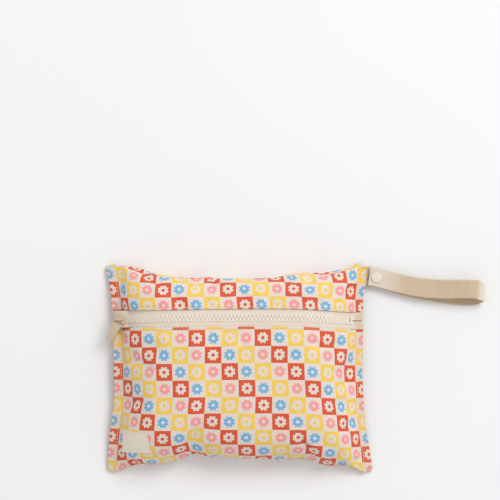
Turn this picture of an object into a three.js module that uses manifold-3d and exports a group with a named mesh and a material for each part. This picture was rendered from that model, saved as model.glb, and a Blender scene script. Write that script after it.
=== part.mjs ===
// A small zipped wet bag for cloth diapers, filled and lying on its back, with a webbing loop.
// Millimetres. +X runs along the zip towards the loop, +Y from the bottom fold to the top fold and
// +Z up from the surface. The origin is the middle of the flat back, on that surface.
import * as THREE from "three";
import Module from "manifold-3d";
import { mergeVertices } from "three/addons/utils/BufferGeometryUtils.js";

// The filled bag
const BAG_WIDTH = 233; // between the side seams at mid height
const BAG_HEIGHT = 183; // between the two folds at mid width
const BAG_THICKNESS = 50;
const CLOTH = 1.2; // one wall, laminated cloth with its seam allowance
const EDGE_WIDTH = 9.4; // the flat sewn edge outside each side seam
const EDGE_FILL = 0.6; // the turned allowances between its two walls
const EDGE_THICKNESS = 2 * CLOTH + EDGE_FILL;
const SEAM_DEPTH = 1.6; // of closed cloth along a side seam
const GAP = 0.3; // between pieces that touch

// The zip
const SLOT_WIDTH = 17.4; // between the turned cloth edges
const TAPE_UNDER = 3.5; // how far a tape reaches under the cloth
const TAPE_THICKNESS = 1.0;
const TAPE_ROOM = 0.65; // between a tape and the cloth over it
const TAPE_DEPTH = CLOTH + TAPE_ROOM + TAPE_THICKNESS / 2; // its middle below the cloth's face
const TOOTH_PITCH = 3.75;
const CHAIN_WIDTH = 6.6;
const CHAIN_THICKNESS = 2.8;
const CORD_WIDTH = 1.1; // the cord along each tape edge that the teeth are moulded on
const STOP_LENGTH = 3.4;
const STOP_OVER = 0.8; // how far the stop reaches past the chain on each side
const CHAIN_END = 7.6; // from the right side seam

// The slider and its pull
const SLIDER_LENGTH = 11.5;
const SLIDER_TILT = 13; // degrees, its right end higher
const PLATE = 1.1;
const RAIL = 1.1;
const PLATE_CORNER = 1.6; // radius of the plates' corners
const WEDGE_LENGTH = 3.0; // the post between the plates that parts the teeth
const WEDGE_WIDTH = 2.4;
const BRIDGE_LENGTH = 8.0;
const BRIDGE_WIDTH = 2.0;
const BRIDGE_BAR = 1.3;
const BRIDGE_POST = 1.0;
const HINGE_RISE = 2.0; // the pull's turning axis above the upper plate
const PULL_LENGTH = 25.2; // from the loop's bar to the round end
const PULL_WIDTH = 7.2;
const PULL_THICKNESS = 1.2;
const PULL_BAR = 1.2; // the loop's own bars
const PULL_ANGLE = 58; // degrees from the zip's left to the pull, towards the bottom fold
const PULL_DROP = 8; // degrees, its end lower
const PULL_HOLE = { length: 5.4, width: 3.4 };

// The webbing loop, its snap and the label
const STRAP_WIDTH = 19;
const STRAP_THICKNESS = 1.4;
const SNAP_WIDTH = 10.7;
const SNAP_CAP = 1.2;
const SNAP_SEAT = 9.0; // width of the socket and the stud under the webbing
const SNAP_PIN = 2.2;
const SNAP_BOSS = 4.0;
const SNAP_FLANGE = 0.8; // thickness of the stud's seat
const SNAP_SOCKET = 1.9; // height of the socket
const PIN_SEAT = 0.3; // how far a cap's pin reaches into the stud or the socket
const LABEL_THICKNESS = 0.8;

const COLOURS = {
  cloth: 0xe3d6c8,
  tape: 0xe0d2c1,
  teeth: 0xe8dccb,
  slider: 0xdcccb6,
  webbing: 0xd3c1a2,
  snap: 0xdfd3c3,
  label: 0xe9e1d3,
};

// Side seams from the bottom fold up: out is how far the seam lies outside the bag's width, as a
// share of it, lift is its height as a share of the thickness, fall is how steeply the sewn edge
// hangs down from it.
const LEFT_SIDE = [
  { up: 0.0, out: 0.026, lift: 0.09, fall: 0.16 },
  { up: 0.07, out: 0.021, lift: 0.135, fall: 0.2 },
  { up: 0.16, out: 0.013, lift: 0.185, fall: 0.18 },
  { up: 0.25, out: 0.003, lift: 0.22, fall: 0.15 },
  { up: 0.35, out: -0.008, lift: 0.245, fall: 0.12 },
  { up: 0.5, out: -0.006, lift: 0.26, fall: 0.12 },
  { up: 0.65, out: -0.005, lift: 0.26, fall: 0.14 },
  { up: 0.75, out: -0.003, lift: 0.25, fall: 0.16 },
  { up: 0.85, out: 0.006, lift: 0.21, fall: 0.2 },
  { up: 0.93, out: 0.018, lift: 0.15, fall: 0.2 },
  { up: 1.0, out: 0.032, lift: 0.1, fall: 0.18 },
];
const RIGHT_SIDE = [
  { up: 0.0, out: 0.041, lift: 0.09, fall: 0.2 },
  { up: 0.07, out: 0.033, lift: 0.14, fall: 0.42 },
  { up: 0.16, out: 0.025, lift: 0.195, fall: 0.6 },
  { up: 0.25, out: 0.014, lift: 0.235, fall: 0.66 },
  { up: 0.35, out: 0.008, lift: 0.26, fall: 0.66 },
  { up: 0.5, out: 0.003, lift: 0.27, fall: 0.66 },
  { up: 0.65, out: 0.006, lift: 0.265, fall: 0.66 },
  { up: 0.75, out: 0.006, lift: 0.245, fall: 0.64 },
  { up: 0.85, out: 0.005, lift: 0.205, fall: 0.6 },
  { up: 0.93, out: 0.015, lift: 0.175, fall: 0.55 },
  { up: 1.0, out: 0.017, lift: 0.15, fall: 0.5 },
];

// Bottom and top folds from the left seam across: out is how far the fold lies outside the bag's
// height, as a share of it, lift is its height as a share of the thickness.
const FOLDS = [
  { across: 0.0, bottom_out: 0.068, top_out: 0.063, bottom_lift: 0.09, top_lift: 0.1 },
  { across: 0.06, bottom_out: 0.044, top_out: 0.051, bottom_lift: 0.15, top_lift: 0.15 },
  { across: 0.12, bottom_out: 0.031, top_out: 0.038, bottom_lift: 0.19, top_lift: 0.19 },
  { across: 0.18, bottom_out: 0.02, top_out: 0.022, bottom_lift: 0.22, top_lift: 0.24 },
  { across: 0.25, bottom_out: 0.003, top_out: 0.008, bottom_lift: 0.26, top_lift: 0.27 },
  { across: 0.32, bottom_out: -0.028, top_out: 0.001, bottom_lift: 0.33, top_lift: 0.28 },
  { across: 0.39, bottom_out: -0.01, top_out: -0.002, bottom_lift: 0.28, top_lift: 0.28 },
  { across: 0.5, bottom_out: 0.0, top_out: -0.003, bottom_lift: 0.28, top_lift: 0.28 },
  { across: 0.62, bottom_out: 0.003, top_out: 0.0, bottom_lift: 0.28, top_lift: 0.28 },
  { across: 0.72, bottom_out: 0.002, top_out: 0.014, bottom_lift: 0.28, top_lift: 0.27 },
  { across: 0.78, bottom_out: 0.01, top_out: 0.021, bottom_lift: 0.26, top_lift: 0.26 },
  { across: 0.85, bottom_out: 0.028, top_out: 0.029, bottom_lift: 0.23, top_lift: 0.22 },
  { across: 0.92, bottom_out: 0.039, top_out: 0.045, bottom_lift: 0.18, top_lift: 0.18 },
  { across: 1.0, bottom_out: 0.074, top_out: 0.067, bottom_lift: 0.09, top_lift: 0.15 },
];
const CORNER_LIFT = 0.1;

// Dents and soft ridges in the front: depth is a share of the thickness, negative for a ridge;
// long and wide are shares of the bag's width, turn is the long side's angle from the zip's run.
const DENTS = [
  { across: 0.31, up: 0.07, depth: 0.16, long: 0.13, wide: 0.035, turn: 62 },
  { across: 0.22, up: 0.12, depth: -0.05, long: 0.1, wide: 0.045, turn: 40 },
  { across: 0.785, up: 0.03, depth: 0.07, long: 0.09, wide: 0.02, turn: 115 },
  { across: 0.86, up: 0.1, depth: 0.04, long: 0.12, wide: 0.03, turn: 140 },
  { across: 0.16, up: 0.95, depth: 0.09, long: 0.1, wide: 0.03, turn: -35 },
  { across: 0.9, up: 0.9, depth: 0.08, long: 0.12, wide: 0.03, turn: 48 },
  { across: 0.8, up: 0.97, depth: 0.06, long: 0.05, wide: 0.03, turn: 80 },
  { across: 0.55, up: 0.9, depth: 0.025, long: 0.2, wide: 0.04, turn: 4 },
];

// The zip's middle line from the left seam across, as a share of the bag's height.
const ZIP_LINE = [
  { across: 0.0, up: 0.268 },
  { across: 0.35, up: 0.278 },
  { across: 0.75, up: 0.279 },
  { across: 1.0, up: 0.257 },
];

// The label's corners: from the left seam across and from the middle up, as shares of the bag's
// width and height.
const LABEL = {
  left: -0.4955,
  right_top: -0.384,
  right_bottom: -0.37,
  bottom: -0.457,
  top_left: -0.335,
  top_right: -0.349,
};

// The webbing's route, from its sewn tail along the surface to the far bend and back over itself.
// run and side are shares of STRAP_RUN from the sewn edge, lift is in webbing thicknesses above the
// level that from names, lean is how much the webbing's far edge (+Y) is raised, as a slope.
const STRAP_RUN = 119;
const STRAP_ROUTE = [
  { run: -0.036, side: 0.0, from: "edge", lift: 0.26, lean: -0.16 },
  { run: 0.0, side: 0.0, from: "edge", lift: -1.59, lean: -0.12 },
  { run: 0.035, side: -0.002, from: "under", lift: 0.68, lean: -0.03 },
  { run: 0.065, side: -0.008, from: "under", lift: 0.5, lean: 0.0 },
  { run: 0.155, side: -0.03, from: "under", lift: 0.5, lean: 0.0 },
  { run: 0.26, side: -0.068, from: "floor", lift: 0.9, lean: 0.0 },
  { run: 0.47, side: -0.118, from: "floor", lift: 0.62, lean: 0.0 },
  { run: 0.67, side: -0.152, from: "floor", lift: 0.62, lean: 0.0 },
  { run: 0.83, side: -0.17, from: "floor", lift: 0.62, lean: 0.0 },
  { run: 0.91, side: -0.166, from: "floor", lift: 0.9, lean: 0.05 },
  { run: 0.968, side: -0.152, from: "floor", lift: 2.4, lean: 0.1 },
  { run: 1.0, side: -0.134, from: "floor", lift: 6.2, lean: 0.14 },
  { run: 0.965, side: -0.118, from: "floor", lift: 9.8, lean: 0.16 },
  { run: 0.9, side: -0.112, from: "floor", lift: 11.2, lean: 0.17 },
  { run: 0.82, side: -0.11, from: "floor", lift: 11.0, lean: 0.17 },
  { run: 0.67, side: -0.112, from: "floor", lift: 8.9, lean: 0.13 },
  { run: 0.47, side: -0.1, from: "over", lift: 2.06, lean: 0.05 },
  { run: 0.26, side: -0.058, from: "over", lift: 0.66, lean: 0.0 },
  { run: 0.155, side: -0.028, from: "over", lift: 0.5, lean: 0.0 },
  { run: 0.065, side: -0.006, from: "over", lift: 0.5, lean: 0.0 },
  { run: 0.032, side: -0.001, from: "over", lift: 0.5, lean: 0.0 },
];
const STRAP_STEPS = 60;
const STRAP_UP = 0.503; // the tail's middle above the bag's middle, as a share of its height
const SNAP_AT = 0.093; // the snap's distance from the tail's seam, as a share of STRAP_RUN
const SNAP_SIDE = -0.013; // across from the tail's middle, as a share of STRAP_RUN
const EDGE_BULGE = 0.42; // how much thicker the sewn edge is where it holds the tail

const wasm = await Module();
wasm.setup();

// The value of a column at t, on a smooth curve through the rows.
function curve(rows, key, column, t) {
  let k = 0;
  while (k < rows.length - 2 && t > rows[k + 1][key]) k += 1;
  const slope = (i) => {
    const a = rows[Math.max(i - 1, 0)];
    const b = rows[Math.min(i + 1, rows.length - 1)];
    return (b[column] - a[column]) / (b[key] - a[key]);
  };
  const span = rows[k + 1][key] - rows[k][key];
  const s = THREE.MathUtils.clamp((t - rows[k][key]) / span, 0, 1);
  const [a, b] = [rows[k][column], rows[k + 1][column]];
  const [ma, mb] = [slope(k) * span, slope(k + 1) * span];
  const rise = s * s * (3 - 2 * s);
  return a + (b - a) * rise + ma * s * (1 - s) ** 2 - mb * s * s * (1 - s);
}

const side = (sign, column, v) => curve(sign < 0 ? LEFT_SIDE : RIGHT_SIDE, "up", column, v);
const fold = (column, u) => curve(FOLDS, "across", column, u);
const lerp = THREE.MathUtils.lerp;

// A point of the bag's plan from its shares u across and v up, between the seams and folds.
function plan(u, v) {
  const left = -BAG_WIDTH * (0.5 + side(-1, "out", v));
  const right = BAG_WIDTH * (0.5 + side(1, "out", v));
  const bottom = -BAG_HEIGHT * (0.5 + fold("bottom_out", u));
  const top = BAG_HEIGHT * (0.5 + fold("top_out", u));
  return [lerp(left, right, u), lerp(bottom, top, v)];
}

// The height of the middle layer, which carries the seams and the folds.
function middle(u, v) {
  const turn = u * u * (3 - 2 * u);
  const seams = lerp(side(-1, "lift", v), side(1, "lift", v), turn);
  const folds = lerp(fold("bottom_lift", u), fold("top_lift", u), v);
  return BAG_THICKNESS * (seams + folds - CORNER_LIFT);
}

// A soft dome over the unit square: 1 in the middle, 0 along the seams and the folds.
function dome(u, v, seamPower, foldPower) {
  const across = 1 - Math.abs(2 * u - 1) ** seamPower;
  const up = Math.max(0, 1 - Math.abs(2 * v - 1) ** foldPower) ** 0.6;
  return across * up;
}

function dents(u, v) {
  const shape = BAG_HEIGHT / BAG_WIDTH;
  return DENTS.reduce((sum, d) => {
    const turn = THREE.MathUtils.degToRad(d.turn);
    const [dx, dy] = [u - d.across, (v - d.up) * shape];
    const along = (dx * Math.cos(turn) + dy * Math.sin(turn)) / d.long;
    const off = (dy * Math.cos(turn) - dx * Math.sin(turn)) / d.wide;
    return sum + d.depth * BAG_THICKNESS * Math.exp(-along * along - off * off);
  }, 0);
}

const HALF_EDGE = EDGE_THICKNESS / 2;
const CENTRE = middle(0.5, 0.5);
const FRONT_RISE = BAG_THICKNESS - HALF_EDGE - CENTRE;
const BACK_FALL = 1.35 * CENTRE;

// How boldly the front rises: a higher power is steeper at the seam or the fold.
const FRONT_POWERS = { left: 8.5, right: 6.5, fold: 6.5 };

function front(u, v) {
  const seamPower = lerp(FRONT_POWERS.left, FRONT_POWERS.right, u);
  const rise = FRONT_RISE * dome(u, v, seamPower, FRONT_POWERS.fold);
  const dent = dents(u, v) * dome(u, v, 4, 6);
  return middle(u, v) + HALF_EDGE + Math.max(rise - dent, 0);
}

function back(u, v) {
  return Math.max(0, middle(u, v) - HALF_EDGE - BACK_FALL * dome(u, v, 5, 5.5));
}

function faceAt(u, v, height) {
  const [x, y] = plan(u, v);
  return new THREE.Vector3(x, y, height(u, v));
}

// The outward normal of the front or the back, from its own two directions.
function normalAt(u, v, height, outward) {
  const h = 0.002;
  const [u0, u1] = [Math.max(u - h, 0), Math.min(u + h, 1)];
  const [v0, v1] = [Math.max(v - h, 0), Math.min(v + h, 1)];
  const across = faceAt(u1, v, height).sub(faceAt(u0, v, height));
  const up = faceAt(u, v1, height).sub(faceAt(u, v0, height));
  return across.cross(up).normalize().multiplyScalar(outward);
}

// A point of a sewn edge: s runs from the side seam to the outer edge, layer from back to front.
function edgePoint(sign, v, s, layer) {
  const seam = faceAt(sign < 0 ? 0 : 1, v, middle);
  const fall = side(sign, "fall", v);
  const level = Math.sqrt(1 - fall * fall);
  const held = sign > 0 ? THREE.MathUtils.smoothstep(v, 0.82, 0.88) : 0;
  const half = HALF_EDGE * (1 + EDGE_BULGE * held * s ** 0.25);
  const slim = 1 - 0.02 * s;
  return new THREE.Vector3(
    seam.x + sign * (EDGE_WIDTH * s * level + layer * half * fall * s),
    seam.y * slim,
    seam.z - EDGE_WIDTH * s * fall + layer * half * lerp(1, level, s),
  );
}

// A closed solid through rings of points. Each ring lists its front, then its back the other way.
function loft(rings) {
  const size = rings[0].length;
  const points = rings.flat().flatMap((p) => [p.x, p.y, p.z]);
  const faces = [];
  const quad = (a, b, c, d) => faces.push(a, b, c, a, c, d);
  for (let r = 0; r + 1 < rings.length; r += 1)
    for (let k = 0; k < size; k += 1) {
      const next = (k + 1) % size;
      quad(r * size + k, r * size + next, (r + 1) * size + next, (r + 1) * size + k);
    }
  const last = (rings.length - 1) * size;
  for (let k = 0; k + 1 < size / 2; k += 1) {
    quad(k, size - 1 - k, size - 2 - k, k + 1);
    quad(last + k, last + k + 1, last + size - 2 - k, last + size - 1 - k);
  }
  return outward(points, faces);
}

// A geometry from points and triangles, turned so that its faces point out.
function outward(points, faces) {
  const corner = (i) => new THREE.Vector3(...points.slice(3 * i, 3 * i + 3));
  let volume = 0;
  for (let i = 0; i < faces.length; i += 3) {
    const [a, b, c] = [0, 1, 2].map((k) => corner(faces[i + k]));
    volume += a.dot(b.cross(c));
  }
  if (volume < 0)
    for (let i = 0; i < faces.length; i += 3)
      [faces[i + 1], faces[i + 2]] = [faces[i + 2], faces[i + 1]];
  const made = new THREE.BufferGeometry();
  made.setAttribute("position", new THREE.Float32BufferAttribute(points, 3));
  made.setIndex(faces);
  return made;
}

function toSolid(geometry) {
  const bare = geometry.clone();
  bare.deleteAttribute("normal");
  bare.deleteAttribute("uv");
  const merged = mergeVertices(bare, 1e-4);
  const mesh = new wasm.Mesh({
    numProp: 3,
    vertProperties: merged.attributes.position.array,
    triVerts: new Uint32Array(merged.index.array),
  });
  return new wasm.Manifold(mesh);
}

function toGeometry(solid) {
  const mesh = solid.getMesh();
  const made = new THREE.BufferGeometry();
  made.setAttribute("position", new THREE.BufferAttribute(mesh.vertProperties, 3));
  made.setIndex(new THREE.BufferAttribute(mesh.triVerts, 1));
  return made;
}

const cut = (geometry, ...tools) =>
  toGeometry(tools.reduce((solid, tool) => solid.subtract(toSolid(tool)), toSolid(geometry)));
const join = (first, ...others) =>
  toGeometry(others.reduce((solid, other) => solid.add(toSolid(other)), toSolid(first)));

// Shares across, close together near the side seams, where the cloth turns down.
const FROM_SEAM = [0, 2, 5, 9, 14, 20, 27, 35, 45, 57, 70, 84, 100];
const ACROSS = [
  ...FROM_SEAM.map((mm) => mm / BAG_WIDTH),
  0.5,
  ...FROM_SEAM.map((mm) => 1 - mm / BAG_WIDTH).reverse(),
];
const LEVELS = 20;
const UP = Array.from({ length: LEVELS + 1 }, (_, j) => (1 - Math.cos((Math.PI * j) / LEVELS)) / 2);

const ringOf = (frontPoint, backPoint) => [...UP.map(frontPoint), ...UP.map(backPoint).reverse()];

function edgeRings(sign) {
  return [1, 0.5].map((s) =>
    ringOf(
      (v) => edgePoint(sign, v, s, 1),
      (v) => edgePoint(sign, v, s, -1),
    ),
  );
}

function bodyOuter() {
  const cloth = ACROSS.map((u) =>
    ringOf(
      (v) => faceAt(u, v, front),
      (v) => faceAt(u, v, back),
    ),
  );
  return loft([...edgeRings(-1), ...cloth, ...edgeRings(1).reverse()]);
}

// The hollow: the same face moved in by the cloth's wall.
function bodyHollow() {
  const start = SEAM_DEPTH / BAG_WIDTH;
  const inside = [start, ...ACROSS.slice(2, -2), 1 - start];
  const moved = (u, v, height, way) =>
    faceAt(u, v, height).addScaledVector(normalAt(u, v, height, way), -CLOTH);
  return loft(
    inside.map((u) =>
      ringOf(
        (v) => moved(u, v, front, 1),
        (v) => moved(u, v, back, -1),
      ),
    ),
  );
}

// Shares u and v of a place on the plan, found by a few rounds of correction.
function shares(x, y) {
  let [u, v] = [x / BAG_WIDTH + 0.5, y / BAG_HEIGHT + 0.5];
  for (let round = 0; round < 7; round += 1) {
    const [px, py] = plan(THREE.MathUtils.clamp(u, 0, 1), THREE.MathUtils.clamp(v, 0, 1));
    const inside = u > 0 && u < 1;
    u += (x - px) / BAG_WIDTH - (inside ? 0 : u - THREE.MathUtils.clamp(u, 0, 1));
    v += (y - py) / BAG_HEIGHT;
  }
  return [u, v];
}

// The height of the upper face over a place on the plan, sewn edges included.
function skin(x, y, height = front) {
  const v = shares(x, y)[1];
  const left = faceAt(0, v, middle);
  const right = faceAt(1, v, middle);
  const sign = x < left.x ? -1 : 1;
  if (x >= left.x && x <= right.x) {
    const u = (x - left.x) / (right.x - left.x);
    return height(u, v);
  }
  const seam = sign < 0 ? left : right;
  const fall = side(sign, "fall", v);
  const drop = (Math.abs(x - seam.x) * fall) / Math.sqrt(1 - fall * fall);
  return seam.z - drop + (height === front ? HALF_EDGE : 0);
}

const zipY = (x) => BAG_HEIGHT * curve(ZIP_LINE, "across", "up", x / BAG_WIDTH + 0.5);

// The tapes' middle along the zip: it follows the cloth, runs straight through the slider and
// comes down to the sewn edges at both ends.
const ZIP_V = shares(0, zipY(0))[1];
const LEFT_SEAM = faceAt(0, ZIP_V, middle).x;
const RIGHT_SEAM = faceAt(1, ZIP_V, middle).x;
const LEFT_END = edgePoint(-1, ZIP_V, 1, 0).x;
const RIGHT_END = edgePoint(1, ZIP_V, 1, 0).x;
const SLIDER_MIDDLE = LEFT_SEAM - 0.3;
const SLIDER_HALF = (SLIDER_LENGTH / 2) * Math.cos(THREE.MathUtils.degToRad(SLIDER_TILT));
const LIFT_OFF = SLIDER_MIDDLE + SLIDER_HALF + 3; // where the tapes leave the cloth's slope
const SLIDER_SLOPE = Math.tan(THREE.MathUtils.degToRad(SLIDER_TILT));
const EDGE_SEAT = TAPE_THICKNESS / 2 + GAP + 0.2; // off the middle of the sewn edge

function slopeOf(f, x, h) {
  return (f(x + h) - f(x - h)) / (2 * h);
}

// The tapes' middle where they lie on the sewn edges.
function edgePath(x) {
  const fall = side(Math.sign(x), "fall", ZIP_V);
  return skin(x, zipY(x), middle) + EDGE_SEAT / Math.sqrt(1 - fall * fall);
}

function clothPath(x) {
  const face = (at) => skin(at, zipY(at));
  const steep = slopeOf(face, x, 2);
  const reach = THREE.MathUtils.smoothstep(x, RIGHT_SEAM - 7, RIGHT_SEAM - 1);
  return lerp(face(x) - TAPE_DEPTH * Math.hypot(1, steep), edgePath(x), reach);
}

function rawPath(x) {
  if (x > LIFT_OFF) return clothPath(x);
  const line = clothPath(LIFT_OFF) - (LIFT_OFF - x) * SLIDER_SLOPE;
  const end = SLIDER_MIDDLE - SLIDER_HALF;
  return lerp(edgePath(x), line, THREE.MathUtils.smoothstep(x, LEFT_END + 0.2, end - 0.2));
}

// The path's height, rounded where it bends.
function pathHeight(x) {
  const reach = x > LIFT_OFF - 3 ? 2.5 : 0.3;
  const offsets = [-1, -0.5, 0, 0.5, 1].map((k) => k * reach);
  return offsets.reduce((sum, d) => sum + rawPath(x + d), 0) / offsets.length;
}

// A point by the zip: w across from its middle line, up from the tapes' middle.
function zipPoint(x, w, up) {
  const y = zipY(x);
  const steep = slopeOf(pathHeight, x, 0.6);
  const scale = up / Math.hypot(1, steep);
  const level = SLIDER_MIDDLE - SLIDER_HALF;
  const free = x > LIFT_OFF ? 0 : THREE.MathUtils.smoothstep(x, LEFT_END, level);
  const bank = (1 - free) * (skin(x, y + w) - skin(x, y));
  return new THREE.Vector3(x - scale * steep, y + w, pathHeight(x) + bank + scale);
}

// Places along the zip at equal steps of its real, curved length.
function zipSteps(from, to, step) {
  const places = [from];
  const small = 0.25;
  for (let x = from, run = 0; x < to; x += small) {
    run += small * Math.hypot(1, slopeOf(pathHeight, x, 0.6));
    if (run < step) continue;
    places.push(x);
    run = 0;
  }
  return places;
}

// The opening for the zip: through the front cloth, and through the sewn edges' upper layer.
function zipSlot() {
  const ends = [LEFT_END - 2, LEFT_SEAM, RIGHT_SEAM, RIGHT_END + 2];
  const count = 24;
  const inner = Array.from({ length: count - 1 }, (_, i) => lerp(ends[1], ends[2], (i + 1) / count));
  const half = SLOT_WIDTH / 2;
  return loft(
    [ends[0], ends[1], ...inner, ends[2], ends[3]].map((x) => {
      const y = zipY(x);
      const sides = [-half, 0, half];
      const floor = sides.map((w) => new THREE.Vector3(x, y + w, skin(x, y + w, middle) + 0.1));
      const roof = floor.map((p) => p.clone().setZ(p.z + BAG_THICKNESS));
      return [...roof, ...floor.reverse()];
    }),
  );
}

// One tape: beside the teeth's cord, under the turned cloth edge, and narrow over the sewn edges.
function tape(sign) {
  const near = CHAIN_WIDTH / 2 + GAP;
  const narrow = SLOT_WIDTH / 2 - GAP;
  const wide = SLOT_WIDTH / 2 + TAPE_UNDER;
  const half = TAPE_THICKNESS / 2;
  const from = LEFT_END + 0.2;
  const to = RIGHT_END - 0.2;
  const stations = 56;
  const crowd = 0.7; // how much closer the stations are at both ends, where the tapes bend
  const places = Array.from({ length: stations + 1 }, (_, i) => {
    const t = i / stations;
    return lerp(from, to, t - (crowd * Math.sin(2 * Math.PI * t)) / (2 * Math.PI));
  });
  return loft(
    places.map((x) => {
      const left = THREE.MathUtils.smoothstep(x, LIFT_OFF + 3, LIFT_OFF + 8);
      const right = 1 - THREE.MathUtils.smoothstep(x, RIGHT_SEAM - 9, RIGHT_SEAM - 5);
      const far = lerp(narrow, wide, left * right);
      return [
        zipPoint(x, sign * near, half),
        zipPoint(x, sign * far, half),
        zipPoint(x, sign * far, -half),
        zipPoint(x, sign * near, -half),
      ];
    }),
  );
}

// One row of teeth on its cord, as a comb: each tooth widens from its neck to its shoulders and
// comes to a point past the zip's middle line, between two teeth of the other row.
function comb(sign, places) {
  const half = CHAIN_THICKNESS / 2;
  const outer = CHAIN_WIDTH / 2;
  const inner = outer - CORD_WIDTH;
  const shoulder = 0.2 * TOOTH_PITCH;
  const tip = -0.3 * TOOTH_PITCH;
  const neckHalf = 0.2 * TOOTH_PITCH;
  const shoulderHalf = 0.36 * TOOTH_PITCH;
  const points = [];
  const faces = [];
  const perTooth = 12; // points: six round the outline, upper and lower
  const add = (x, w) => {
    [half, -half].forEach((up) => points.push(...zipPoint(x, sign * w, up).toArray()));
  };
  places.forEach((x) => {
    const steep = slopeOf(pathHeight, x, 0.6);
    const level = 1 / Math.hypot(1, steep);
    add(x - neckHalf * level, outer);
    add(x - neckHalf * level, inner);
    add(x - shoulderHalf * level, shoulder);
    add(x, tip);
    add(x + shoulderHalf * level, shoulder);
    add(x + neckHalf * level, inner);
  });
  // The comb ends with one more pair of points on the cord's outer edge.
  const end = places.at(-1) + neckHalf;
  add(end, outer);
  const top = (tooth, k) => perTooth * tooth + 2 * k;
  const wall = (a, b) => faces.push(a, b, b + 1, a, b + 1, a + 1);
  const cap = (...ring) => {
    for (let i = 1; i + 1 < ring.length; i += 1) {
      faces.push(ring[0], ring[i + 1], ring[i]);
      faces.push(ring[0] + 1, ring[i] + 1, ring[i + 1] + 1);
    }
  };
  places.forEach((_, n) => {
    const [o, i1, s1, t, s2, i2] = [0, 1, 2, 3, 4, 5].map((k) => top(n, k));
    const more = n + 1 < places.length;
    const nextOuter = top(n + 1, 0);
    cap(i1, s1, s2, i2);
    cap(s1, t, s2);
    if (more) {
      cap(o, i1, i2, nextOuter);
      cap(nextOuter, i2, top(n + 1, 1));
      wall(i2, top(n + 1, 1));
    } else {
      cap(o, i1, i2, nextOuter);
      wall(i2, nextOuter);
    }
    wall(i1, s1);
    wall(s1, t);
    wall(t, s2);
    wall(s2, i2);
    wall(nextOuter, o);
    if (n === 0) wall(o, i1);
  });
  return outward(points, faces);
}

// The stop across the chain's right end.
function zipStop(x) {
  const half = CHAIN_THICKNESS / 2;
  const inner = CHAIN_WIDTH / 2;
  const wide = inner + STOP_OVER;
  const ends = [x, x + STOP_LENGTH / 2, x + STOP_LENGTH];
  const bar = loft(
    ends.map((at) => [
      zipPoint(at, -wide, half),
      zipPoint(at, wide, half),
      zipPoint(at, wide, TAPE_THICKNESS / 2 + GAP),
      zipPoint(at, -wide, TAPE_THICKNESS / 2 + GAP),
    ]),
  );
  const core = loft(
    ends.map((at) => [
      zipPoint(at, -inner, half - 0.2),
      zipPoint(at, inner, half - 0.2),
      zipPoint(at, inner, -half),
      zipPoint(at, -inner, -half),
    ]),
  );
  return join(bar, core);
}

// A flat solid with the outline of a shape, between two heights.
function slab(shape, low, high, steps = 5) {
  const made = new THREE.ExtrudeGeometry(shape, {
    depth: high - low,
    bevelEnabled: false,
    curveSegments: steps,
  });
  return made.translate(0, 0, low);
}

function roundedBar(x0, x1, y0, y1, radius) {
  const shape = new THREE.Shape();
  shape.moveTo(x0 + radius, y0);
  shape.lineTo(x1 - radius, y0);
  shape.absarc(x1 - radius, y0 + radius, radius, -Math.PI / 2, 0);
  shape.lineTo(x1, y1 - radius);
  shape.absarc(x1 - radius, y1 - radius, radius, 0, Math.PI / 2);
  shape.lineTo(x0 + radius, y1);
  shape.absarc(x0 + radius, y1 - radius, radius, Math.PI / 2, Math.PI);
  shape.lineTo(x0, y0 + radius);
  shape.absarc(x0 + radius, y0 + radius, radius, Math.PI, 1.5 * Math.PI);
  return shape;
}

// Heights above the tapes' middle, and the bridge's place along the slider.
const PLATE_IN = CHAIN_THICKNESS / 2 + GAP;
const PLATE_OUT = PLATE_IN + PLATE;
const RAIL_IN = CHAIN_WIDTH / 2 + GAP;
const HINGE_UP = PLATE_OUT + HINGE_RISE;
const BAR_LOW = HINGE_UP + Math.hypot(PULL_BAR, PULL_THICKNESS) / 2 + 0.8 * GAP;
const BRIDGE_AT = 0;

function slider() {
  const half = SLIDER_LENGTH / 2;
  const wide = RAIL_IN + RAIL;
  const overlap = 0.1; // pieces of one moulding run into each other
  const plate = roundedBar(-half, half, -wide, wide, PLATE_CORNER);
  const parts = [slab(plate, -PLATE_OUT, -PLATE_IN, 3)];
  const railGap = TAPE_THICKNESS / 2 + GAP;
  [-1, 1].forEach((sign) => {
    const [near, far] = [sign * RAIL_IN, sign * wide].sort((a, b) => a - b);
    const rail = roundedBar(PLATE_CORNER - half, half - PLATE_CORNER, near, far, 0.3 * RAIL);
    parts.push(slab(rail, railGap, PLATE_IN + overlap, 1));
    parts.push(slab(rail, -PLATE_IN - overlap, -railGap, 1));
  });
  const wedgeStart = GAP - half;
  const wedgeSide = WEDGE_WIDTH / 2;
  const wedge = roundedBar(wedgeStart, wedgeStart + WEDGE_LENGTH, -wedgeSide, wedgeSide, 0.9 * wedgeSide);
  parts.push(slab(wedge, -PLATE_IN - overlap, PLATE_IN + overlap, 2));
  const reach = BRIDGE_LENGTH / 2;
  [-1, 1].forEach((sign) => {
    const ends = [BRIDGE_AT + sign * reach, BRIDGE_AT + sign * (reach - BRIDGE_POST)];
    const [x0, x1] = ends.sort((a, b) => a - b);
    const post = roundedBar(x0, x1, -BRIDGE_WIDTH / 4, BRIDGE_WIDTH / 4, 0.2 * BRIDGE_POST);
    parts.push(slab(post, PLATE_OUT - overlap, BAR_LOW + overlap, 1));
  });
  const wideBar = BRIDGE_WIDTH / 2;
  const bar = roundedBar(BRIDGE_AT - reach, BRIDGE_AT + reach, -wideBar, wideBar, wideBar * 0.95);
  parts.push(slab(bar, BAR_LOW, BAR_LOW + BRIDGE_BAR, 3));
  return join(slab(plate, PLATE_IN, PLATE_OUT, 3), ...parts);
}

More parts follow.
